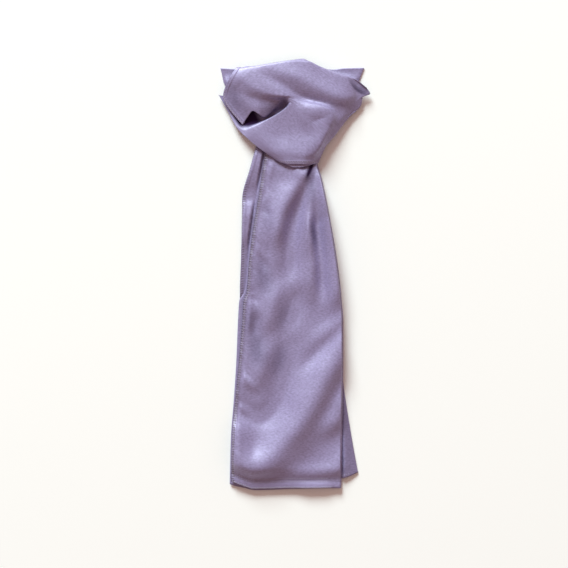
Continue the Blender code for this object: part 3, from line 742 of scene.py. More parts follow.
def soften(heights, times):
    """Evens a grid of heights, so that folds run into each other without a crease."""
    for _ in range(times):
        for axis in (0, 1):
            wide = [(1, 1) if axis == k else (0, 0) for k in (0, 1)]
            padded = np.pad(heights, wide, mode="edge")
            before = padded[:-2] if axis == 0 else padded[:, :-2]
            after = padded[2:] if axis == 0 else padded[:, 2:]
            heights = heights * 0.5 + (before + after) * 0.25
    return heights


def uneven(x, y, size, seed):
    """Soft unevenness between -1 and 1, of a given size in millimetres."""
    flat = [
        noise.noise(Vector((a / size, b / size, seed)))
        for a, b in zip(x.ravel().tolist(), y.ravel().tolist())
    ]
    return np.array(flat).reshape(x.shape)


def relax(grid, times):
    """Evens a grid of points, and keeps its border."""
    for _ in range(times):
        around = (grid[:-2, 1:-1] + grid[2:, 1:-1] + grid[1:-1, :-2] + grid[1:-1, 2:]) / 4.0
        grid[1:-1, 1:-1] = grid[1:-1, 1:-1] * 0.4 + around * 0.6
    return grid


def normals_of(grid):
    """Unit directions out of a grid of points, on the side where rows run down and columns right."""
    normal = np.cross(np.gradient(grid, axis=0), np.gradient(grid, axis=1))
    return normal / np.maximum(np.linalg.norm(normal, axis=2, keepdims=True), 1e-9)


def spread(shares, ease=TAIL_EASE):
    """Shares of a width that lie closer together at both edges."""
    return (1.0 - ease) * shares + ease * (1.0 - np.cos(math.pi * shares)) / 2.0


def lengths_along(grid, axis):
    """Length of cloth from the first row (axis 0) or column (axis 1) to each point of a grid."""
    steps = np.linalg.norm(np.diff(grid, axis=axis), axis=2)
    first = np.zeros_like(grid[:1, :, 0] if axis == 0 else grid[:, :1, 0])
    return np.concatenate([first, np.cumsum(steps, axis=axis)], axis=axis)


def from_first_column(grid):
    """Length of cloth from the first column to each point."""
    return lengths_along(grid, 1)


def from_last_column(grid):
    """Length of cloth from the last column to each point."""
    return lengths_along(grid[:, ::-1], 1)[:, ::-1]


def from_last_row(grid):
    """Length of cloth from the last row to each point."""
    return lengths_along(grid[::-1], 0)[::-1]


# Sheets


def settings():
    return bpy.context.scene.scarf_cloth


def link(piece):
    bpy.context.scene.collection.objects.link(piece)
    return piece


def finish_piece(piece, slot_name, *nodes):
    """Fixes a piece to the body and hides the solids that it replaces; the slot name is not used."""
    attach(piece, BODY)
    if nodes:
        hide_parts(*nodes)
    return piece


def quads_of(grid):
    """The four corners of each face of a grid of numbers or values."""
    return np.stack([grid[:-1, :-1], grid[1:, :-1], grid[1:, 1:], grid[:-1, 1:]], axis=2)


def cloth_mesh(name, grid, ring=False):
    """A grid of points in millimetres as an open sheet, with a UV map in millimetres of cloth.

    A sheet's last quarter of columns is its upper layer, and a ring's first quarter its under
    layer. Which way that quarter looks says whether the faces are turned to point outwards.
    """
    rows, columns = grid.shape[:2]
    looks_up = normals_of(grid)[:, :, 2]
    if ring:
        turned = np.mean(looks_up[:, :columns // 4]) > 0.0
    else:
        turned = np.mean(looks_up[:, columns * 3 // 4:]) < 0.0
    points = grid.reshape(-1, 3) * MM
    index = np.arange(rows * columns).reshape(rows, columns)
    if ring:
        index = np.concatenate([index, index[:, :1]], axis=1)
        grid = np.concatenate([grid, grid[:, :1]], axis=1)
    across = lengths_along(grid, 1)
    across -= across[:, -1:] / 2.0
    uv = np.stack([across, lengths_along(grid, 0)], axis=-1)
    faces = quads_of(index).reshape(-1, 4)
    corners = quads_of(uv).reshape(-1, 4, 2)
    if turned:
        faces, corners = faces[:, ::-1], corners[:, ::-1]
    mesh = bpy.data.meshes.new(name)
    mesh.from_pydata(points.tolist(), [], faces.tolist())
    mesh.uv_layers.new(name="cloth_mm").data.foreach_set("uv", corners.ravel())
    mesh.update()
    mesh.shade_smooth()
    return mesh


def sheet_piece(name, grid, material, ring=False, inside=None, hem=None, seam=None):
    """A finished sheet: inside is painted shade, how much light stays away; hem and seam say where it is
    sewn.
    """
    piece = link(bpy.data.objects.new(name, cloth_mesh(name, grid, ring)))
    # Steep sides get painted shade as well, kept with the rest in the inside attribute
    steep = SIDE_SHADE * (1.0 - past(np.abs(normals_of(grid)[:, :, 2]), *SIDE_STEEPNESS))
    inside = steep if inside is None else np.maximum(steep, inside)
    for label, values in (("inside", inside), ("hem", hem), ("seam", seam)):
        attribute = piece.data.attributes.new(label, "FLOAT", "POINT")
        values = np.zeros(len(attribute.data)) if values is None else values.ravel()
        attribute.data.foreach_set("value", values)
    piece.data.materials.append(material)
    wall = piece.modifiers.new("cloth", "SOLIDIFY")
    wall.thickness = settings().thickness
    wall.offset = -1.0
    wall.use_even_offset = False
    wall.use_rim = True
    return piece


# Materials


def add(tree, kind, links=(), inputs=None, **values):
    """Adds one node, sets its properties and inputs, and links (output, input) pairs."""
    node = tree.nodes.new(kind)
    for key, value in values.items():
        setattr(node, key, value)
    for key, value in (inputs or {}).items():
        node.inputs[key].default_value = value
    for output, key in links:
        tree.links.new(output, node.inputs[key])
    return node


def new_material(name, inputs):
    """A material, its node tree and its shader with the given inputs."""
    material = bpy.data.materials.new(name)
    material.use_nodes = True
    shader = material.node_tree.nodes["Principled BSDF"]
    for key, value in inputs.items():
        shader.inputs[key].default_value = value
    return material, material.node_tree, shader


def line_scale(spacing, angle=WAVE_ANGLE):
    """Scale of a wave texture that draws lines at a spacing in millimetres."""
    return 2.0 * math.pi / (angle * spacing)


def satin_material(name):
    """Polyester satin, woven with long floats: a soft broad gloss over a lilac dye."""
    colours = bpy.context.scene.scarf_colours
    material, tree, shader = new_material(name, {
        "Roughness": 0.5,
        "Metallic": 0.18,
        "IOR": 1.85,
        "Sheen Roughness": 0.45,
        "Sheen Tint": (*linear("#E6E0EC"), 1.0),
    })
    uv = add(tree, "ShaderNodeUVMap", uv_map="cloth_mm").outputs["UV"]
    # Slow drift of the dye and the press
    drift = add(tree, "ShaderNodeTexNoise", [(uv, "Vector")], {"Scale": 1.0 / DRIFT_SIZE, "Detail": 3.0})
    # Warp floats: short slanting streaks
    stretch = add(tree, "ShaderNodeMapping", [(uv, "Vector")], {
        "Rotation": (0.0, 0.0, math.radians(FLOAT_SLANT)),
        "Scale": (1.0 / FLOAT_LENGTH, 1.0 / FLOAT_WIDTH, 1.0),
    })
    floats = add(tree, "ShaderNodeTexNoise", [(stretch.outputs["Vector"], "Vector")],
                 {"Scale": 1.0, "Detail": 2.0})
    # Twill line of the weave
    twill = add(tree, "ShaderNodeTexWave", [(uv, "Vector")],
                {"Scale": line_scale(TWILL_SPACING, SLANTING_WAVE_ANGLE), "Distortion": 5.0, "Detail": 1.0},
                wave_type="BANDS", bands_direction="DIAGONAL")
    mix = add(tree, "ShaderNodeMix", [(drift.outputs["Fac"], "Factor")], data_type="RGBA")
    mix.inputs[6].default_value = (*colours.satin_deep, 1.0)
    mix.inputs[7].default_value = (*colours.satin, 1.0)
    weave = add(tree, "ShaderNodeMath", [(twill.outputs["Fac"], 0), (floats.outputs["Fac"], 2)],
                {1: TWILL_SHARE}, operation="MULTIPLY_ADD").outputs[0]
    # The grain of the weave, lighter and darker by up to a quarter
    grain = add(tree, "ShaderNodeMapRange", [(weave, "Value")],
                {"From Min": 0.30, "From Max": 0.82, "To Min": 0.76, "To Max": 1.24})
    grained = add(tree, "ShaderNodeVectorMath", [(mix.outputs[2], 0), (grain.outputs[0], "Scale")],
                  operation="SCALE")
    # A sewn hem is drawn in between the stitches, and painted shade marks the small dimples there
    hem = add(tree, "ShaderNodeAttribute", attribute_name="hem")
    dimples = add(tree, "ShaderNodeTexWave", [(uv, "Vector")],
                  {"Scale": line_scale(DIMPLE_SPACING), "Distortion": 2.0, "Detail": 1.0},
                  wave_type="BANDS", bands_direction="Y")
    drawn = add(tree, "ShaderNodeMath", [(dimples.outputs["Fac"], 0), (hem.outputs["Fac"], 1)],
                operation="MULTIPLY")
    # A straight row of stitches sits in a thin groove, marked by painted shade
    seam = add(tree, "ShaderNodeAttribute", attribute_name="seam")
    sewn = add(tree, "ShaderNodeMath", [(drawn.outputs[0], 0), (seam.outputs["Fac"], 1)],
               operation="ADD", use_clamp=True)
    hem_painted_shade = add(tree, "ShaderNodeMix", [(sewn.outputs[0], "Factor"), (grained.outputs[0], 6)],
                 data_type="RGBA")
    hem_painted_shade.inputs[7].default_value = (*linear("#5E4F66"), 1.0)
    # Painted shade: in the shut pouch of the knot hardly any light reaches the cloth, so the dye is mixed
    # almost to black there. The soft painted shades laid over open cloth darken the dye in the same way,
    # but only in part.
    inside = add(tree, "ShaderNodeAttribute", attribute_name="inside").outputs["Fac"]
    shut = add(tree, "ShaderNodeMix", [(inside, "Factor"), (hem_painted_shade.outputs[2], 6)], data_type="RGBA")
    shut.inputs[7].default_value = (*linear("#2C1A38"), 1.0)
    tree.links.new(shut.outputs[2], shader.inputs["Base Color"])
    # The painted shade also takes away the gloss and the sheen, down to none where it is full
    for label, open_value in (("Specular IOR Level", 0.5), ("Sheen Weight", 0.25)):
        left = add(tree, "ShaderNodeMapRange", [(inside, "Value")], {"To Min": open_value, "To Max": 0.0})
        tree.links.new(left.outputs[0], shader.inputs[label])
    # The cloth is never quite flat: waves of the press, then the weave itself
    press = add(tree, "ShaderNodeTexNoise", [(uv, "Vector")], {"Scale": 1.0 / PRESS_SIZE, "Detail": 1.0})
    waves = add(tree, "ShaderNodeBump", [(press.outputs["Fac"], "Height")],
                {"Strength": 1.0, "Distance": 0.00025})
    bump = add(tree, "ShaderNodeBump", [(weave, "Height"), (waves.outputs["Normal"], "Normal")],
               {"Strength": 0.2, "Distance": 0.0003})
    tree.links.new(bump.outputs["Normal"], shader.inputs["Normal"])
    return material


def thread_material(name):
    """Spun polyester sewing thread: matt, a little paler than the satin."""
    material, tree, shader = new_material(name, {"Roughness": 0.6})
    place = add(tree, "ShaderNodeTexCoord")
    twist = add(tree, "ShaderNodeTexNoise", [(place.outputs["Object"], "Vector")],
                {"Scale": TWISTS_PER_METRE, "Detail": 1.0})
    ramp = add(tree, "ShaderNodeValToRGB", [(twist.outputs["Fac"], "Fac")])
    thread = bpy.context.scene.scarf_colours.thread
    ramp.color_ramp.elements[0].color = (*[c * THREAD_SHADE for c in thread], 1.0)
    ramp.color_ramp.elements[1].color = (*thread, 1.0)
    tree.links.new(ramp.outputs["Color"], shader.inputs["Base Color"])
    return material


def material_once(name, make):
    """The material of that name, made the first time that it is asked for."""
    return bpy.data.materials.get(name) or make(name)


def satin():
    return material_once("polyester satin", satin_material)


# Sewing


def inset_line(grid, distance):
    """Points at a distance inside a grid's last column, as rows of place, direction across and up."""
    back = grid[:, ::-1]
    rows = np.array([
        [
            [np.interp(place, lengths, line[:, axis]) for axis in range(3)]
            for place in (distance, max(distance - INSET_STEP, 0.0), distance + INSET_STEP)
        ]
        for line, lengths in zip(back, lengths_along(back, 1))
    ])
    across = rows[:, 2] - rows[:, 1]
    across /= np.linalg.norm(across, axis=1, keepdims=True)
    up = np.cross(np.gradient(rows[:, 0], axis=0), across)
    up /= np.linalg.norm(up, axis=1, keepdims=True)
    up *= np.where(up[:, 2:] < 0.0, -1.0, 1.0)
    return np.stack([rows[:, 0], across, up], axis=1)


def stitch_nodes(name="sewing thread"):
    """Geometry Nodes that lay a sewing thread along guide lines as a zigzag or a dipping straight row."""
    group = bpy.data.node_groups.get(name)
    if group:
        return group
    group = bpy.data.node_groups.new(name, "GeometryNodeTree")
    group.interface.new_socket("Geometry", in_out="INPUT", socket_type="NodeSocketGeometry")
    for label, value in (("Pitch", 0.002), ("Thread", 0.0005), ("Dip", 0.0004), ("Unevenness", 0.0003)):
        socket = group.interface.new_socket(label, in_out="INPUT", socket_type="NodeSocketFloat")
        socket.default_value = value
        socket.min_value = 0.0
    group.interface.new_socket("Material", in_out="INPUT", socket_type="NodeSocketMaterial")
    group.interface.new_socket("Geometry", in_out="OUTPUT", socket_type="NodeSocketGeometry")

    def maths(operation, first, second):
        """A sum with two terms; the second is an output or a plain number."""
        if isinstance(second, float):
            return add(group, "ShaderNodeMath", [(first, 0)], {1: second}, operation=operation).outputs[0]
        return add(group, "ShaderNodeMath", [(first, 0), (second, 1)], operation=operation).outputs[0]

    def scaled(direction, factor):
        return add(group, "ShaderNodeVectorMath", [(direction, 0), (factor, "Scale")],
                   operation="SCALE").outputs[0]

    def guide(label):
        return add(group, "GeometryNodeInputNamedAttribute", (), {"Name": label},
                   data_type="FLOAT_VECTOR").outputs["Attribute"]

    given = add(group, "NodeGroupInput").outputs
    curve = add(group, "GeometryNodeMeshToCurve", [(given["Geometry"], "Mesh")])
    even = add(group, "GeometryNodeResampleCurve",
               [(curve.outputs["Curve"], "Curve"), (given["Pitch"], "Length")], mode="LENGTH")
    # Every second point of a zigzag lies on the other side, and of a straight row in the cloth
    odd = maths("MODULO", add(group, "GeometryNodeInputIndex").outputs[0], 2.0)
    across = guide("across")
    shift = scaled(across, maths("SUBTRACT", odd, 0.5))
    width = add(group, "ShaderNodeVectorMath", [(across, 0)], operation="LENGTH").outputs["Value"]
    dip = maths("MULTIPLY", odd, maths("LESS_THAN", width, STRAIGHT_WIDTH))
    sink = scaled(guide("up"), maths("MULTIPLY", dip, given["Dip"]))
    place = add(group, "ShaderNodeVectorMath", [(shift, 0), (sink, 1)], operation="SUBTRACT")
    chance = add(group, "FunctionNodeRandomValue", (),
                 {0: (-1.0, -1.0, 0.0), 1: (1.0, 1.0, 0.0), "Seed": STITCH_SEED}, data_type="FLOAT_VECTOR")
    drift = scaled(chance.outputs[0], given["Unevenness"])
    total = add(group, "ShaderNodeVectorMath", [(place.outputs[0], 0), (drift, 1)], operation="ADD")
    moved = add(group, "GeometryNodeSetPosition",
                [(even.outputs["Curve"], "Geometry"), (total.outputs[0], "Offset")])
    profile = add(group, "GeometryNodeCurvePrimitiveCircle", [(given["Thread"], "Radius")],
                  {"Resolution": THREAD_SIDES})
    tube = add(group, "GeometryNodeCurveToMesh",
               [(moved.outputs["Geometry"], "Curve"), (profile.outputs["Curve"], "Profile Curve")],
               {"Fill Caps": True})
    real = add(group, "GeometryNodeRealizeInstances", [(tube.outputs["Mesh"], "Geometry")])
    coated = add(group, "GeometryNodeSetMaterial",
                 [(real.outputs["Geometry"], "Geometry"), (given["Material"], "Material")])
    add(group, "NodeGroupOutput", [(coated.outputs["Geometry"], "Geometry")])
    return group


def stitches(name, slot_name, lines):
    """Sewing thread along lines on the cloth; each line comes with the width of its zigzag."""
    cloth = settings()
    points, edges, across, up = [], [], [], []
    for line, width in lines:
        first = len(points)
        for place, side, normal in line:
            points.append(place * MM + normal * (cloth.thread * THREAD_LIFT))
            across.append(side * width * MM)
            up.append(normal)
        edges += [(i, i + 1) for i in range(first, len(points) - 1)]
    guide = bpy.data.meshes.new(name + "_guide")
    guide.from_pydata([tuple(p) for p in points], edges, [])
    for label, values in (("across", across), ("up", up)):
        attribute = guide.attributes.new(label, "FLOAT_VECTOR", "POINT")
        attribute.data.foreach_set("vector", np.array(values).ravel())
    holder = link(bpy.data.objects.new(name + "_guide", guide))
    modifier = holder.modifiers.new("sewing thread", "NODES")
    modifier.node_group = stitch_nodes()
    sockets = [item for item in modifier.node_group.interface.items_tree if item.in_out == "INPUT"]
    inputs = {item.name: item.identifier for item in sockets}
    modifier[inputs["Pitch"]] = cloth.stitch_pitch
    modifier[inputs["Thread"]] = cloth.thread / 2.0
    modifier[inputs["Dip"]] = cloth.thread * THREAD_DIP
    modifier[inputs["Unevenness"]] = THREAD_UNEVENNESS
    modifier[inputs["Material"]] = material_once("polyester thread", thread_material)
    graph = bpy.context.evaluated_depsgraph_get()
    mesh = bpy.data.meshes.new_from_object(holder.evaluated_get(graph))
    mesh.name = name
    holder.modifiers.remove(modifier)
    bpy.data.objects.remove(holder, do_unlink=True)
    mesh.shade_smooth()
    piece = link(bpy.data.objects.new(name, mesh))
    if not mesh.polygons:
        raise RuntimeError("no stitches were made for " + name)
    return finish_piece(piece, slot_name)


# Tails


def layer_places(shares_down, shares_across, start, edges, hem, bottom):
    """x, y and both edges over a tail's layer; hem and bottom are (table, column)."""
    down, across = shares_down[:, None], shares_across[None, :]
    y = start + (bottom[0][0][bottom[1]] - start) * down + 0.0 * across
    for _ in range(EDGE_ROUNDS):
        left = column(*hem, y)
        right = column(edges, 2, y) - ROUND_RADIUS
        x = left + (right - left) * across
        y = start + (column(*bottom, x) - start) * down
    return x, y, left, right


def hem_relief(from_edge, width, along):
    """The turned hem's height: a low step with a stitched groove and small puckers along it."""
    step = settings().hem_rise / MM * blend(width + HEM_STEP_WIDTH / 2.0 - from_edge, HEM_STEP_WIDTH)
    size, turns = GROOVE_DRIFT
    pucker = 0.5 + 0.5 * np.sin(along * GROOVE_WAVE + size * np.sin(along * turns))
    groove = GROOVE_DEPTH * np.exp(-((from_edge - width * GROOVE_PLACE) / GROOVE_WIDTH) ** 2)
    return step - groove * partly(GROOVE_LEAST, pucker)


def front_top(x, y, left, right):
    """Height of the front tail's upper layer."""
    cloth = settings()
    hem, bottom_hem = cloth.hem_width / MM, cloth.bottom_hem / MM
    from_left, from_right, from_bottom = x - left, right - x, y - column(FRONT_BOTTOM, 1, x)
    swell = partly(HEM_LIFT, rise(from_left, EDGE_SOFT)) * rise(from_right, RIGHT_FOLD_SOFT)
    above_hem = rise(from_bottom - HEM_BAND, HEM_BAND_REACH)
    pinch = 1.0 - UNDER_BAND_PINCH * rise(y - PINCH[0], PINCH[1])
    pressed = 1.0 - CORNER_PRESS * past(y, *CORNER_PRESS_ALONG) * past(x, *CORNER_PRESS_ACROSS)
    folds = soften(fold_heights(FRONT_FOLDS, x, y), FRONT_EVENED) * FOLD_GAIN
    wanted = PUFF * partly(END_PUFF, above_hem) + folds * partly(END_FOLDS, above_hem)
    height = FRONT_Z + FOLDED + swell * pinch * pressed * no_lower(wanted, FRONT_HOLLOW_EASE)
    puckers = soften(fold_heights(HEM_FOLDS, x, y), HEM_EVENED)
    height += puckers * past(from_left, hem, PUCKERS_REACH) * above_hem
    creases = uneven(from_left / CREASE_CLOSENESS, y + CREASE_SLANT * from_left, CREASE_SIZE, CREASE_SEED)
    height += CREASE_HEIGHT * creases * np.exp(-from_left / CREASE_REACH)
    height += DRAPE[0] * uneven(x, y, *DRAPE[1:]) * swell
    drop = FOLDED - 2.0 * cloth.thickness / MM - HEM_GAP
    height -= drop * (1.0 - blend(np.minimum(from_left, from_bottom), HEM_DROP_WIDTH))
    curl = HEM_CURL + HEM_CURL_MORE * window(x, *HEM_CURL_WINDOW)
    height += curl * np.clip(HEM_BAND - from_bottom, 0.0, HEM_BAND)
    height += hem_relief(from_left, hem, y)
    height += hem_relief(from_bottom, bottom_hem, x) * past(from_left, *BOTTOM_RELIEF)
    return height


def back_top(x, y, left, right):
    """Height of the back tail's upper layer, which is pressed flat under the front tail."""
    hem = settings().hem_width / MM
    to_front_hem = column(FRONT_UNDER_HEM, 1, y) - x
    from_front_fold = x - column(FRONT_EDGES, 2, y)
    beside_left = blend(to_front_hem - STRIP_GAP, STRIP_SOFT) * rise(x - left, STRIP_SOFT)
    fall = np.clip((right - x) / CORNER_FALL, 0.0, 1.0)
    beside_right = blend(from_front_fold - CORNER_GAP, CORNER_SOFT) * fall
    height = FOLDED + column(BACK_STRIP, 1, y) * beside_left + column(BACK_CORNER, 1, y) * beside_right
    height += hem_relief(x - left, hem, y) * blend(to_front_hem, BACK_HEM_SOFT)
    height += PRESSED_HEM * hem_relief(y - column(BACK_BOTTOM, 1, x), hem, x) * beside_right
    return height


def side_fold(edge, base, sign, steps):
    """Half a turn of cloth out of an edge's points, to the right (1) or the left (-1), and back above."""
    turn = steps[None, :]
    return np.stack([
        edge[:, :, 0] + sign * ROUND_RADIUS * np.sin(turn),
        edge[:, :, 1] + 0.0 * turn,
        base + ROUND_RADIUS - ROUND_RADIUS * np.cos(turn) + 0.0 * edge[:, :, 0],
    ], axis=-1)


def tail_grid(base, start, edges, under_hem, bottom, under_bottom, top, counts):
    """Points of a tail from the under layer's hem round the fold to the upper layer's hem."""
    upper_columns, under_columns, fold_steps, rows = counts
    down = np.linspace(0.0, 1.0, rows)
    upper_ends = edges, (edges, 1), (bottom, 1)
    shares = spread(np.linspace(0.0, 1.0, under_columns + 1))[:-1]
    x, y, _left, _right = layer_places(down, shares, start, edges, under_hem, under_bottom)
    under = np.stack([x, y, np.full_like(x, base)], axis=-1)
    x, y, _left, _right = layer_places(down, np.array([1.0]), start, *upper_ends)
    fold = side_fold(np.stack([x, y], axis=-1), base, 1.0, np.linspace(0.0, math.pi, fold_steps))
    shares = spread(np.linspace(1.0, 0.0, upper_columns + 1))[1:]
    x, y, left, right = layer_places(down, shares, start, *upper_ends)
    upper = np.stack([x, y, top(x, y, left, right)], axis=-1)
    return np.concatenate([under, fold, upper], axis=1)


def upper_of(grid):
    """The upper layer of a tail, from a little left of its fold to its hem."""
    return grid[:, grid.shape[1] // 3:]


def seam_lines(away, places, strength, width):
    """Thin lines of painted shade, as in grooves, where the distance from an edge is one of the given
    places.
    """
    return strength * sum(np.exp(-((away - place) / width) ** 2) for place in places)


def side_hem(away):
    """1 where the cloth is sewn at its side hem, 0 elsewhere."""
    return blend(settings().hem_width / MM - away, HEM_STEP_WIDTH)


class SCARF_OT_front_tail(bpy.types.Operator):
    """Makes the front tail: under layer, soft fold and creased upper layer"""

    bl_idname = "scarf.front_tail"
    bl_label = "Front tail"

    def execute(self, context):
        cloth = settings()
        bottom_hem = cloth.bottom_hem / MM
        grid = tail_grid(FRONT_Z, TAIL_START, FRONT_EDGES, (FRONT_UNDER_HEM, 1), FRONT_BOTTOM,
                         (FRONT_BOTTOM, 2), front_top, FRONT_COUNTS)
        away = from_last_column(grid)
        # Painted shade: the rows of FRONT_SHADES, and a band along the side hem's outer edge
        shades = np.clip(grid_folds(FRONT_SHADES, grid), 0.0, 1.0)
        shades = np.maximum(shades, EDGE_SHADE * (1.0 - past(away, *EDGE_SHADE_ACROSS)))
        rows = (SEAM_FIRST, bottom_hem - BOTTOM_ROWS_APART, bottom_hem)
        seam = seam_lines(from_last_row(grid), rows, *SEAM) * past(away, *SEAM_ACROSS)
        piece = sheet_piece("front_tail_cloth", grid, satin(), inside=shades, hem=side_hem(away), seam=seam)
        finish_piece(piece, "satin_tail", "front_tail")
        upper = upper_of(grid)
        bottom = np.swapaxes(upper, 0, 1)
        stitches("front_tail_stitches", "satin_tail", [
            (inset_line(upper, cloth.hem_width / MM * ZIGZAG_PLACE)[SIDE_RUN], cloth.stitch_width / MM),
            (inset_line(bottom, bottom_hem)[BOTTOM_RUN], 0.0),
            (inset_line(bottom, bottom_hem - BOTTOM_ROWS_APART)[BOTTOM_RUN], 0.0),
            (inset_line(bottom, OVERCAST_INSET)[OVERCAST_RUN], OVERCAST_WIDTH),
        ])
        return {"FINISHED"}


class SCARF_OT_back_tail(bpy.types.Operator):
    """Makes the back tail, pressed flat under the front one"""

    bl_idname = "scarf.back_tail"
    bl_label = "Back tail"

    def execute(self, context):
        grid = tail_grid(CLEAR_OF_FLOOR, BACK_START, BACK_EDGES, (BACK_EDGES, 1), BACK_BOTTOM,
                         (BACK_BOTTOM, 1), back_top, BACK_COUNTS)
        # Painted shade on the lower right corner, where it lies in the front tail's shade
        beyond = grid[:, :, 0] - column(FRONT_EDGES, 2, grid[:, :, 1])
        shade = past(beyond, *CORNER_SHADE_ACROSS) * past(-grid[:, :, 1], *CORNER_SHADE_DOWN)
        piece = sheet_piece("back_tail_cloth", grid, satin(), inside=CORNER_SHADE * shade,
                            hem=side_hem(from_last_column(grid)))
        finish_piece(piece, "satin_back", "back_tail")
        bottom = np.swapaxes(upper_of(grid), 0, 1)
        stitches("back_tail_stitches", "satin_back", [(inset_line(bottom, BACK_ROW_INSET)[BACK_RUN], 0.0)])
        return {"FINISHED"}


# Knot


def band_grid(columns, rows):
    """The middle of the knot band's cloth, from its top fold down to its bottom hem."""
    along = np.linspace(0.0, 1.0, columns)
    lines = np.stack([
        np.stack([column(points, number, along) for number in (1, 2, 3)], axis=-1)
        for _name, _share, points in BAND_LINES
    ])
    down = np.linspace(0.0, 1.0, rows)
    grid = relax(spline([share for _name, share, _points in BAND_LINES], lines, down), BAND_EVENED[0])
    level = np.abs(normals_of(grid)[:, :, 2])
    down, along = down[:, None], along[None, :]
    open_cloth = np.maximum(rise(FLAP_SHARE - down, FLAP_REACH), rise(down - RIM_SHARE, RIM_REACH))
    shown = np.maximum(open_cloth, rise(along - POUCH_END, POUCH_REACH))
    edges = rise(down, TOP_REACH) * rise(1.0 - down, BOTTOM_REACH)
    grid[:, :, 2] += grid_folds(BAND_FOLDS, grid) * level * shown * edges
    return relax(grid, BAND_EVENED[1])


def under_hem_grid(grid, normal):
    """The band's under layer by its hem, with what shows of it below the upper hem."""
    strip = (grid - normal * (WALL / 2.0 + GAP))[-UNDER_HEM_ROWS:, UNDER_HEM_INSET:-UNDER_HEM_INSET]
    last = strip[-1]
    direction = last - strip[-2]
    direction[:, 2] = 0.0
    direction /= np.linalg.norm(direction, axis=1, keepdims=True)
    ends = np.sin(np.linspace(0.0, math.pi, len(last)))[:, None]
    shares = np.linspace(0.0, 1.0, UNDER_HEM_MORE_ROWS + 1)[1:]
    more = [last + direction * UNDER_HEM_SHOWS * partly(UNDER_HEM_LEAST, ends) * share for share in shares]
    under = np.concatenate([strip, np.stack(more)])
    under[:, :, 2] += UNDER_HEM_GAIN * hem_relief(from_last_row(under), UNDER_HEM_TURN, under[:, :, 0])
    return under


def band_painted_shade(grid, down, along):
    """Painted shade of the band, as the share of light that stays away: in its pouch, beside it and in its
    creases.
    """
    cavity = window(down, *POUCH_DOWN) * window(along, *POUCH_ALONG)
    hollow = HALF_SHUT * window(down, *HALF_DOWN) * window(along, *HALF_ALONG)
    shades = grid_folds(BAND_SHADES, grid) * (down < FLAP_SHARE)
    return np.clip(np.maximum(np.maximum(cavity, hollow), shades), 0.0, 1.0)


class SCARF_OT_knot_band(bpy.types.Operator):
    """Makes the wide band over the knot, and the under hem that shows below it"""

    bl_idname = "scarf.knot_band"
    bl_label = "Knot band"

    def execute(self, context):
        grid = band_grid(*BAND_COUNTS)
        normal = normals_of(grid)
        down = np.linspace(0.0, 1.0, grid.shape[0])[:, None]
        along = np.linspace(0.0, 1.0, grid.shape[1])[None, :]
        from_bottom, from_left = from_last_row(grid), from_first_column(grid)
        flap_hem = hem_relief(from_left, settings().hem_width / MM, from_bottom) * (down < FLAP_HEM_END)
        relief = hem_relief(from_bottom, BAND_HEM, from_left) + FLAP_HEM_GAIN * flap_hem
        face = grid + normal * (WALL / 2.0 + relief)[:, :, None]
        piece = sheet_piece("knot_band_cloth", face, satin(), inside=band_painted_shade(grid, down, along),
                            seam=seam_lines(from_bottom, KNOT_ROWS, *KNOT_SEAM))
        finish_piece(piece, "satin_band", "knot_band")
        under = under_hem_grid(grid, normal)
        hem = sheet_piece("knot_under_hem_cloth", under, satin())
        finish_piece(hem, "satin_band", "knot_band_under_hem")
        bottom = np.swapaxes(face, 0, 1)
        flap = face[: int(len(face) * FLAP_STITCH_END), ::-1]
        flap_inset, flap_width = FLAP_ZIGZAG
        stitches("knot_stitches", "satin_band", [
            *((inset_line(bottom, inset)[KNOT_RUN], 0.0) for inset in KNOT_ROWS),
            (inset_line(np.swapaxes(under, 0, 1), UNDER_HEM_ROW)[UNDER_HEM_RUN], 0.0),
            (inset_line(flap, flap_inset)[int(len(flap) * FLAP_RUN_START):], flap_width),
        ])
        return {"FINISHED"}


class SCARF_OT_neck_loop(bpy.types.Operator):
    """Makes the neck loop, a tube of cloth pressed flat"""

    bl_idname = "scarf.neck_loop"
    bl_label = "Neck loop"

    def execute(self, context):
        rows, columns, fold_steps = LOOP_COUNTS
        down = np.linspace(0.0, 1.0, rows)[:, None]
        across = spread(np.linspace(0.0, 1.0, columns), LOOP_EASE)[None, :]
        y = LOOP_START + (LOOP_END - LOOP_START) * down + 0.0 * across
        for _ in range(EDGE_ROUNDS):
            left = column(LOOP_EDGES, 1, y) + ROUND_RADIUS
            right = column(LOOP_EDGES, 2, y) - ROUND_RADIUS
            x = left + (right - left) * across
            top = column(LOOP_TOP, 1, x)
            y = top + (LOOP_END - top) * down
        folds = soften(fold_heights(LOOP_FOLDS, x, y), LOOP_EVENED)
        lift = (LOOP_PUFF + folds) * rise(np.minimum(x - left, right - x), LOOP_EDGE_SOFT)
        lift = no_lower(lift, LOOP_HOLLOW_EASE) * np.clip(1.0 - down * LOOP_PRESS, 0.0, 1.0)
        under = np.stack([x, y, np.full_like(x, CLEAR_OF_FLOOR)], axis=-1)
        over = np.stack([x, y, FOLDED + lift], axis=-1)[:, ::-1]
        steps = np.linspace(0.0, math.pi, fold_steps + 2)[1:-1]
        right_fold = side_fold(under[:, -1:], CLEAR_OF_FLOOR, 1.0, steps)
        left_fold = side_fold(under[:, :1], CLEAR_OF_FLOOR, -1.0, steps)[:, ::-1]
        grid = np.concatenate([under, right_fold, over, left_fold], axis=1)
        piece = sheet_piece("neck_loop_cloth", grid, satin(), ring=True)
        finish_piece(piece, "satin_back", "neck_loop")
        return {"FINISHED"}


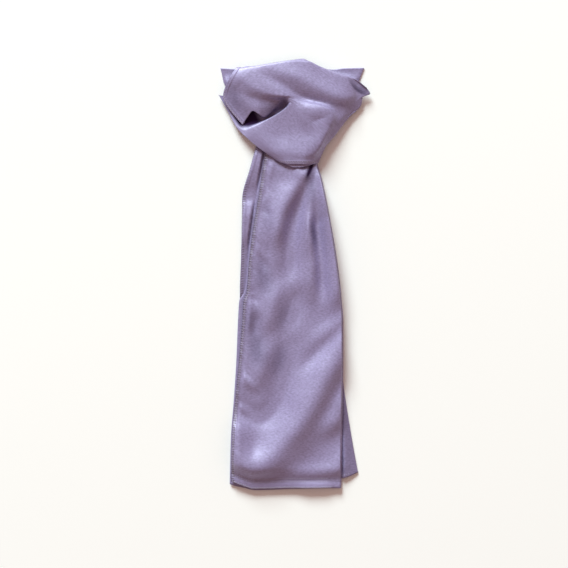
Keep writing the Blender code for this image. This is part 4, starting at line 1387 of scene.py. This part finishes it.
def inside_top(x, y, side, end):
    """Height of the gathered layers: soft pleats, just under the band's lowest cloth above them."""
    band = band_grid(*BAND_COARSE).reshape(-1, 3)
    top = np.zeros_like(x)
    for i in range(len(x)):
        away = np.hypot(band[None, :, 0] - x[i][:, None], band[None, :, 1] - y[i][:, None])
        top[i] = np.where(away < INSIDE_REACH, band[None, :, 2], NOTHING_ABOVE).min(axis=1)
    turns = (x + PLEAT_SLANT * y) * 2.0 * math.pi / PLEAT_SPACING
    pleats = PLEAT_HEIGHT * (1.0 - np.cos(turns + PLEAT_DRIFT[0] * uneven(x, y, *PLEAT_DRIFT[1:])))
    top = soften(np.maximum(top - INSIDE_CLEARANCE - pleats, FRONT_Z + INSIDE_LEAST), INSIDE_EVENED)
    rim = FRONT_Z + INSIDE_RIM
    return rim + (top - rim) * rise(side, INSIDE_EDGE) * rise(end, INSIDE_EDGE)


def inside_mesh(name):
    """The gathered layers as a low closed heap."""
    rows, columns = INSIDE_COUNTS
    low, high = INSIDE_EDGES[-1][0], INSIDE_EDGES[0][0]
    y = np.linspace(high, low, rows)[:, None] + np.zeros((1, columns))
    left, right = column(INSIDE_EDGES, 1, y), column(INSIDE_EDGES, 2, y)
    x = left + (right - left) * np.linspace(0.0, 1.0, columns)[None, :]
    top = inside_top(x, y, np.minimum(x - left, right - x), np.minimum(high - y, y - low))
    heights = (top, np.full_like(x, FRONT_Z))
    points = np.concatenate([np.stack([x, y, z], axis=-1).reshape(-1, 3) for z in heights])
    index = np.arange(x.size).reshape(rows, columns)
    rim = np.concatenate([index[0, :-1], index[:-1, -1], index[-1, :0:-1], index[:0:-1, 0]])
    sides = np.stack([rim, np.roll(rim, -1), np.roll(rim, -1) + x.size, rim + x.size], axis=-1)
    upper = quads_of(index).reshape(-1, 4)
    faces = np.concatenate([upper, upper[:, ::-1] + x.size, sides])
    mesh = bpy.data.meshes.new(name)
    mesh.from_pydata((points * MM).tolist(), [], faces.tolist())
    mesh.uv_layers.new(name="cloth_mm").data.foreach_set("uv", points[faces.ravel()][:, :2].ravel())
    mesh.update()
    mesh.shade_smooth()
    return mesh


class SCARF_OT_knot_inside(bpy.types.Operator):
    """Makes the gathered layers inside the knot"""

    bl_idname = "scarf.knot_inside"
    bl_label = "Inside of the knot"

    def execute(self, context):
        name = "knot_inside_cloth"
        piece = link(bpy.data.objects.new(name, inside_mesh(name)))
        piece.data.materials.append(satin())
        finish_piece(piece, "satin_inside", "knot_core")
        return {"FINISHED"}


# Stage


class SCARF_OT_stage(bpy.types.Operator):
    """Adds the floor, the soft light and the camera straight above"""

    bl_idname = "scarf.stage"
    bl_label = "Stage"

    def execute(self, context):
        scene = context.scene
        stage = scene.scarf_stage
        paper, _tree, _shader = new_material("pale paper", {
            "Base Color": (*scene.scarf_colours.floor, 1.0),
            "Roughness": PAPER_ROUGHNESS,
        })
        mesh = bpy.data.meshes.new("floor")
        corners = [(x * FLOOR_HALF, y * FLOOR_HALF, 0.0) for x, y in ((-1, -1), (1, -1), (1, 1), (-1, 1))]
        mesh.from_pydata(corners, [], [(0, 1, 2, 3)])
        floor = link(bpy.data.objects.new("floor", mesh))
        floor.data.materials.append(paper)

        centre = Vector(VIEW_CENTRE)
        camera = bpy.data.cameras.new("camera")
        camera.sensor_width = SENSOR_WIDTH
        camera.lens = camera.sensor_width * stage.camera_height / stage.view_width
        holder = link(bpy.data.objects.new("camera", camera))
        holder.location = (centre.x, centre.y, stage.camera_height)
        scene.camera = holder

        light = bpy.data.lights.new("window", "AREA")
        light.shape = "DISK"
        light.size = WINDOW_SIZE
        light.energy = stage.key_power
        light.color = WINDOW_COLOUR
        lamp = link(bpy.data.objects.new("window", light))
        lamp.location = WINDOW_PLACE
        lamp.rotation_euler = (centre - Vector(WINDOW_PLACE)).to_track_quat("-Z", "Y").to_euler()

        world = bpy.data.worlds.new("studio")
        world.use_nodes = True
        background = world.node_tree.nodes["Background"]
        background.inputs["Color"].default_value = ROOM_COLOUR
        background.inputs["Strength"].default_value = stage.fill_strength
        scene.world = world
        scene.view_settings.view_transform = "Standard"
        return {"FINISHED"}


class SCARF_PT_panel(bpy.types.Panel):
    """Lists the steps that make the scarf"""

    bl_label = "Laid satin scarf"
    bl_idname = "SCARF_PT_panel"
    bl_space_type = "VIEW_3D"
    bl_region_type = "UI"
    bl_category = "Scarf"

    def draw(self, context):
        layout = self.layout
        for step in STEPS:
            layout.operator(step.bl_idname, text=step.bl_label)
        for group in (context.scene.scarf_cloth, context.scene.scarf_colours, context.scene.scarf_stage):
            box = layout.box()
            for key in group.__annotations__:
                box.prop(group, key)


STEPS = (
    SCARF_OT_back_tail,
    SCARF_OT_front_tail,
    SCARF_OT_neck_loop,
    SCARF_OT_knot_inside,
    SCARF_OT_knot_band,
    SCARF_OT_stage,
)
CLASSES = (ScarfCloth, ScarfColours, ScarfStage, *STEPS, SCARF_PT_panel)


def register():
    for entry in CLASSES:
        bpy.utils.register_class(entry)
    bpy.types.Scene.scarf_cloth = bpy.props.PointerProperty(type=ScarfCloth)
    bpy.types.Scene.scarf_colours = bpy.props.PointerProperty(type=ScarfColours)
    bpy.types.Scene.scarf_stage = bpy.props.PointerProperty(type=ScarfStage)


def unregister():
    del bpy.types.Scene.scarf_cloth
    del bpy.types.Scene.scarf_colours
    del bpy.types.Scene.scarf_stage
    for entry in reversed(CLASSES):
        bpy.utils.unregister_class(entry)


def main():
    register()
    bpy.ops.scarf.back_tail()
    bpy.ops.scarf.front_tail()
    bpy.ops.scarf.neck_loop()
    bpy.ops.scarf.knot_inside()
    bpy.ops.scarf.knot_band()
    bpy.ops.scarf.stage()


if __name__ == "__main__":
    main()
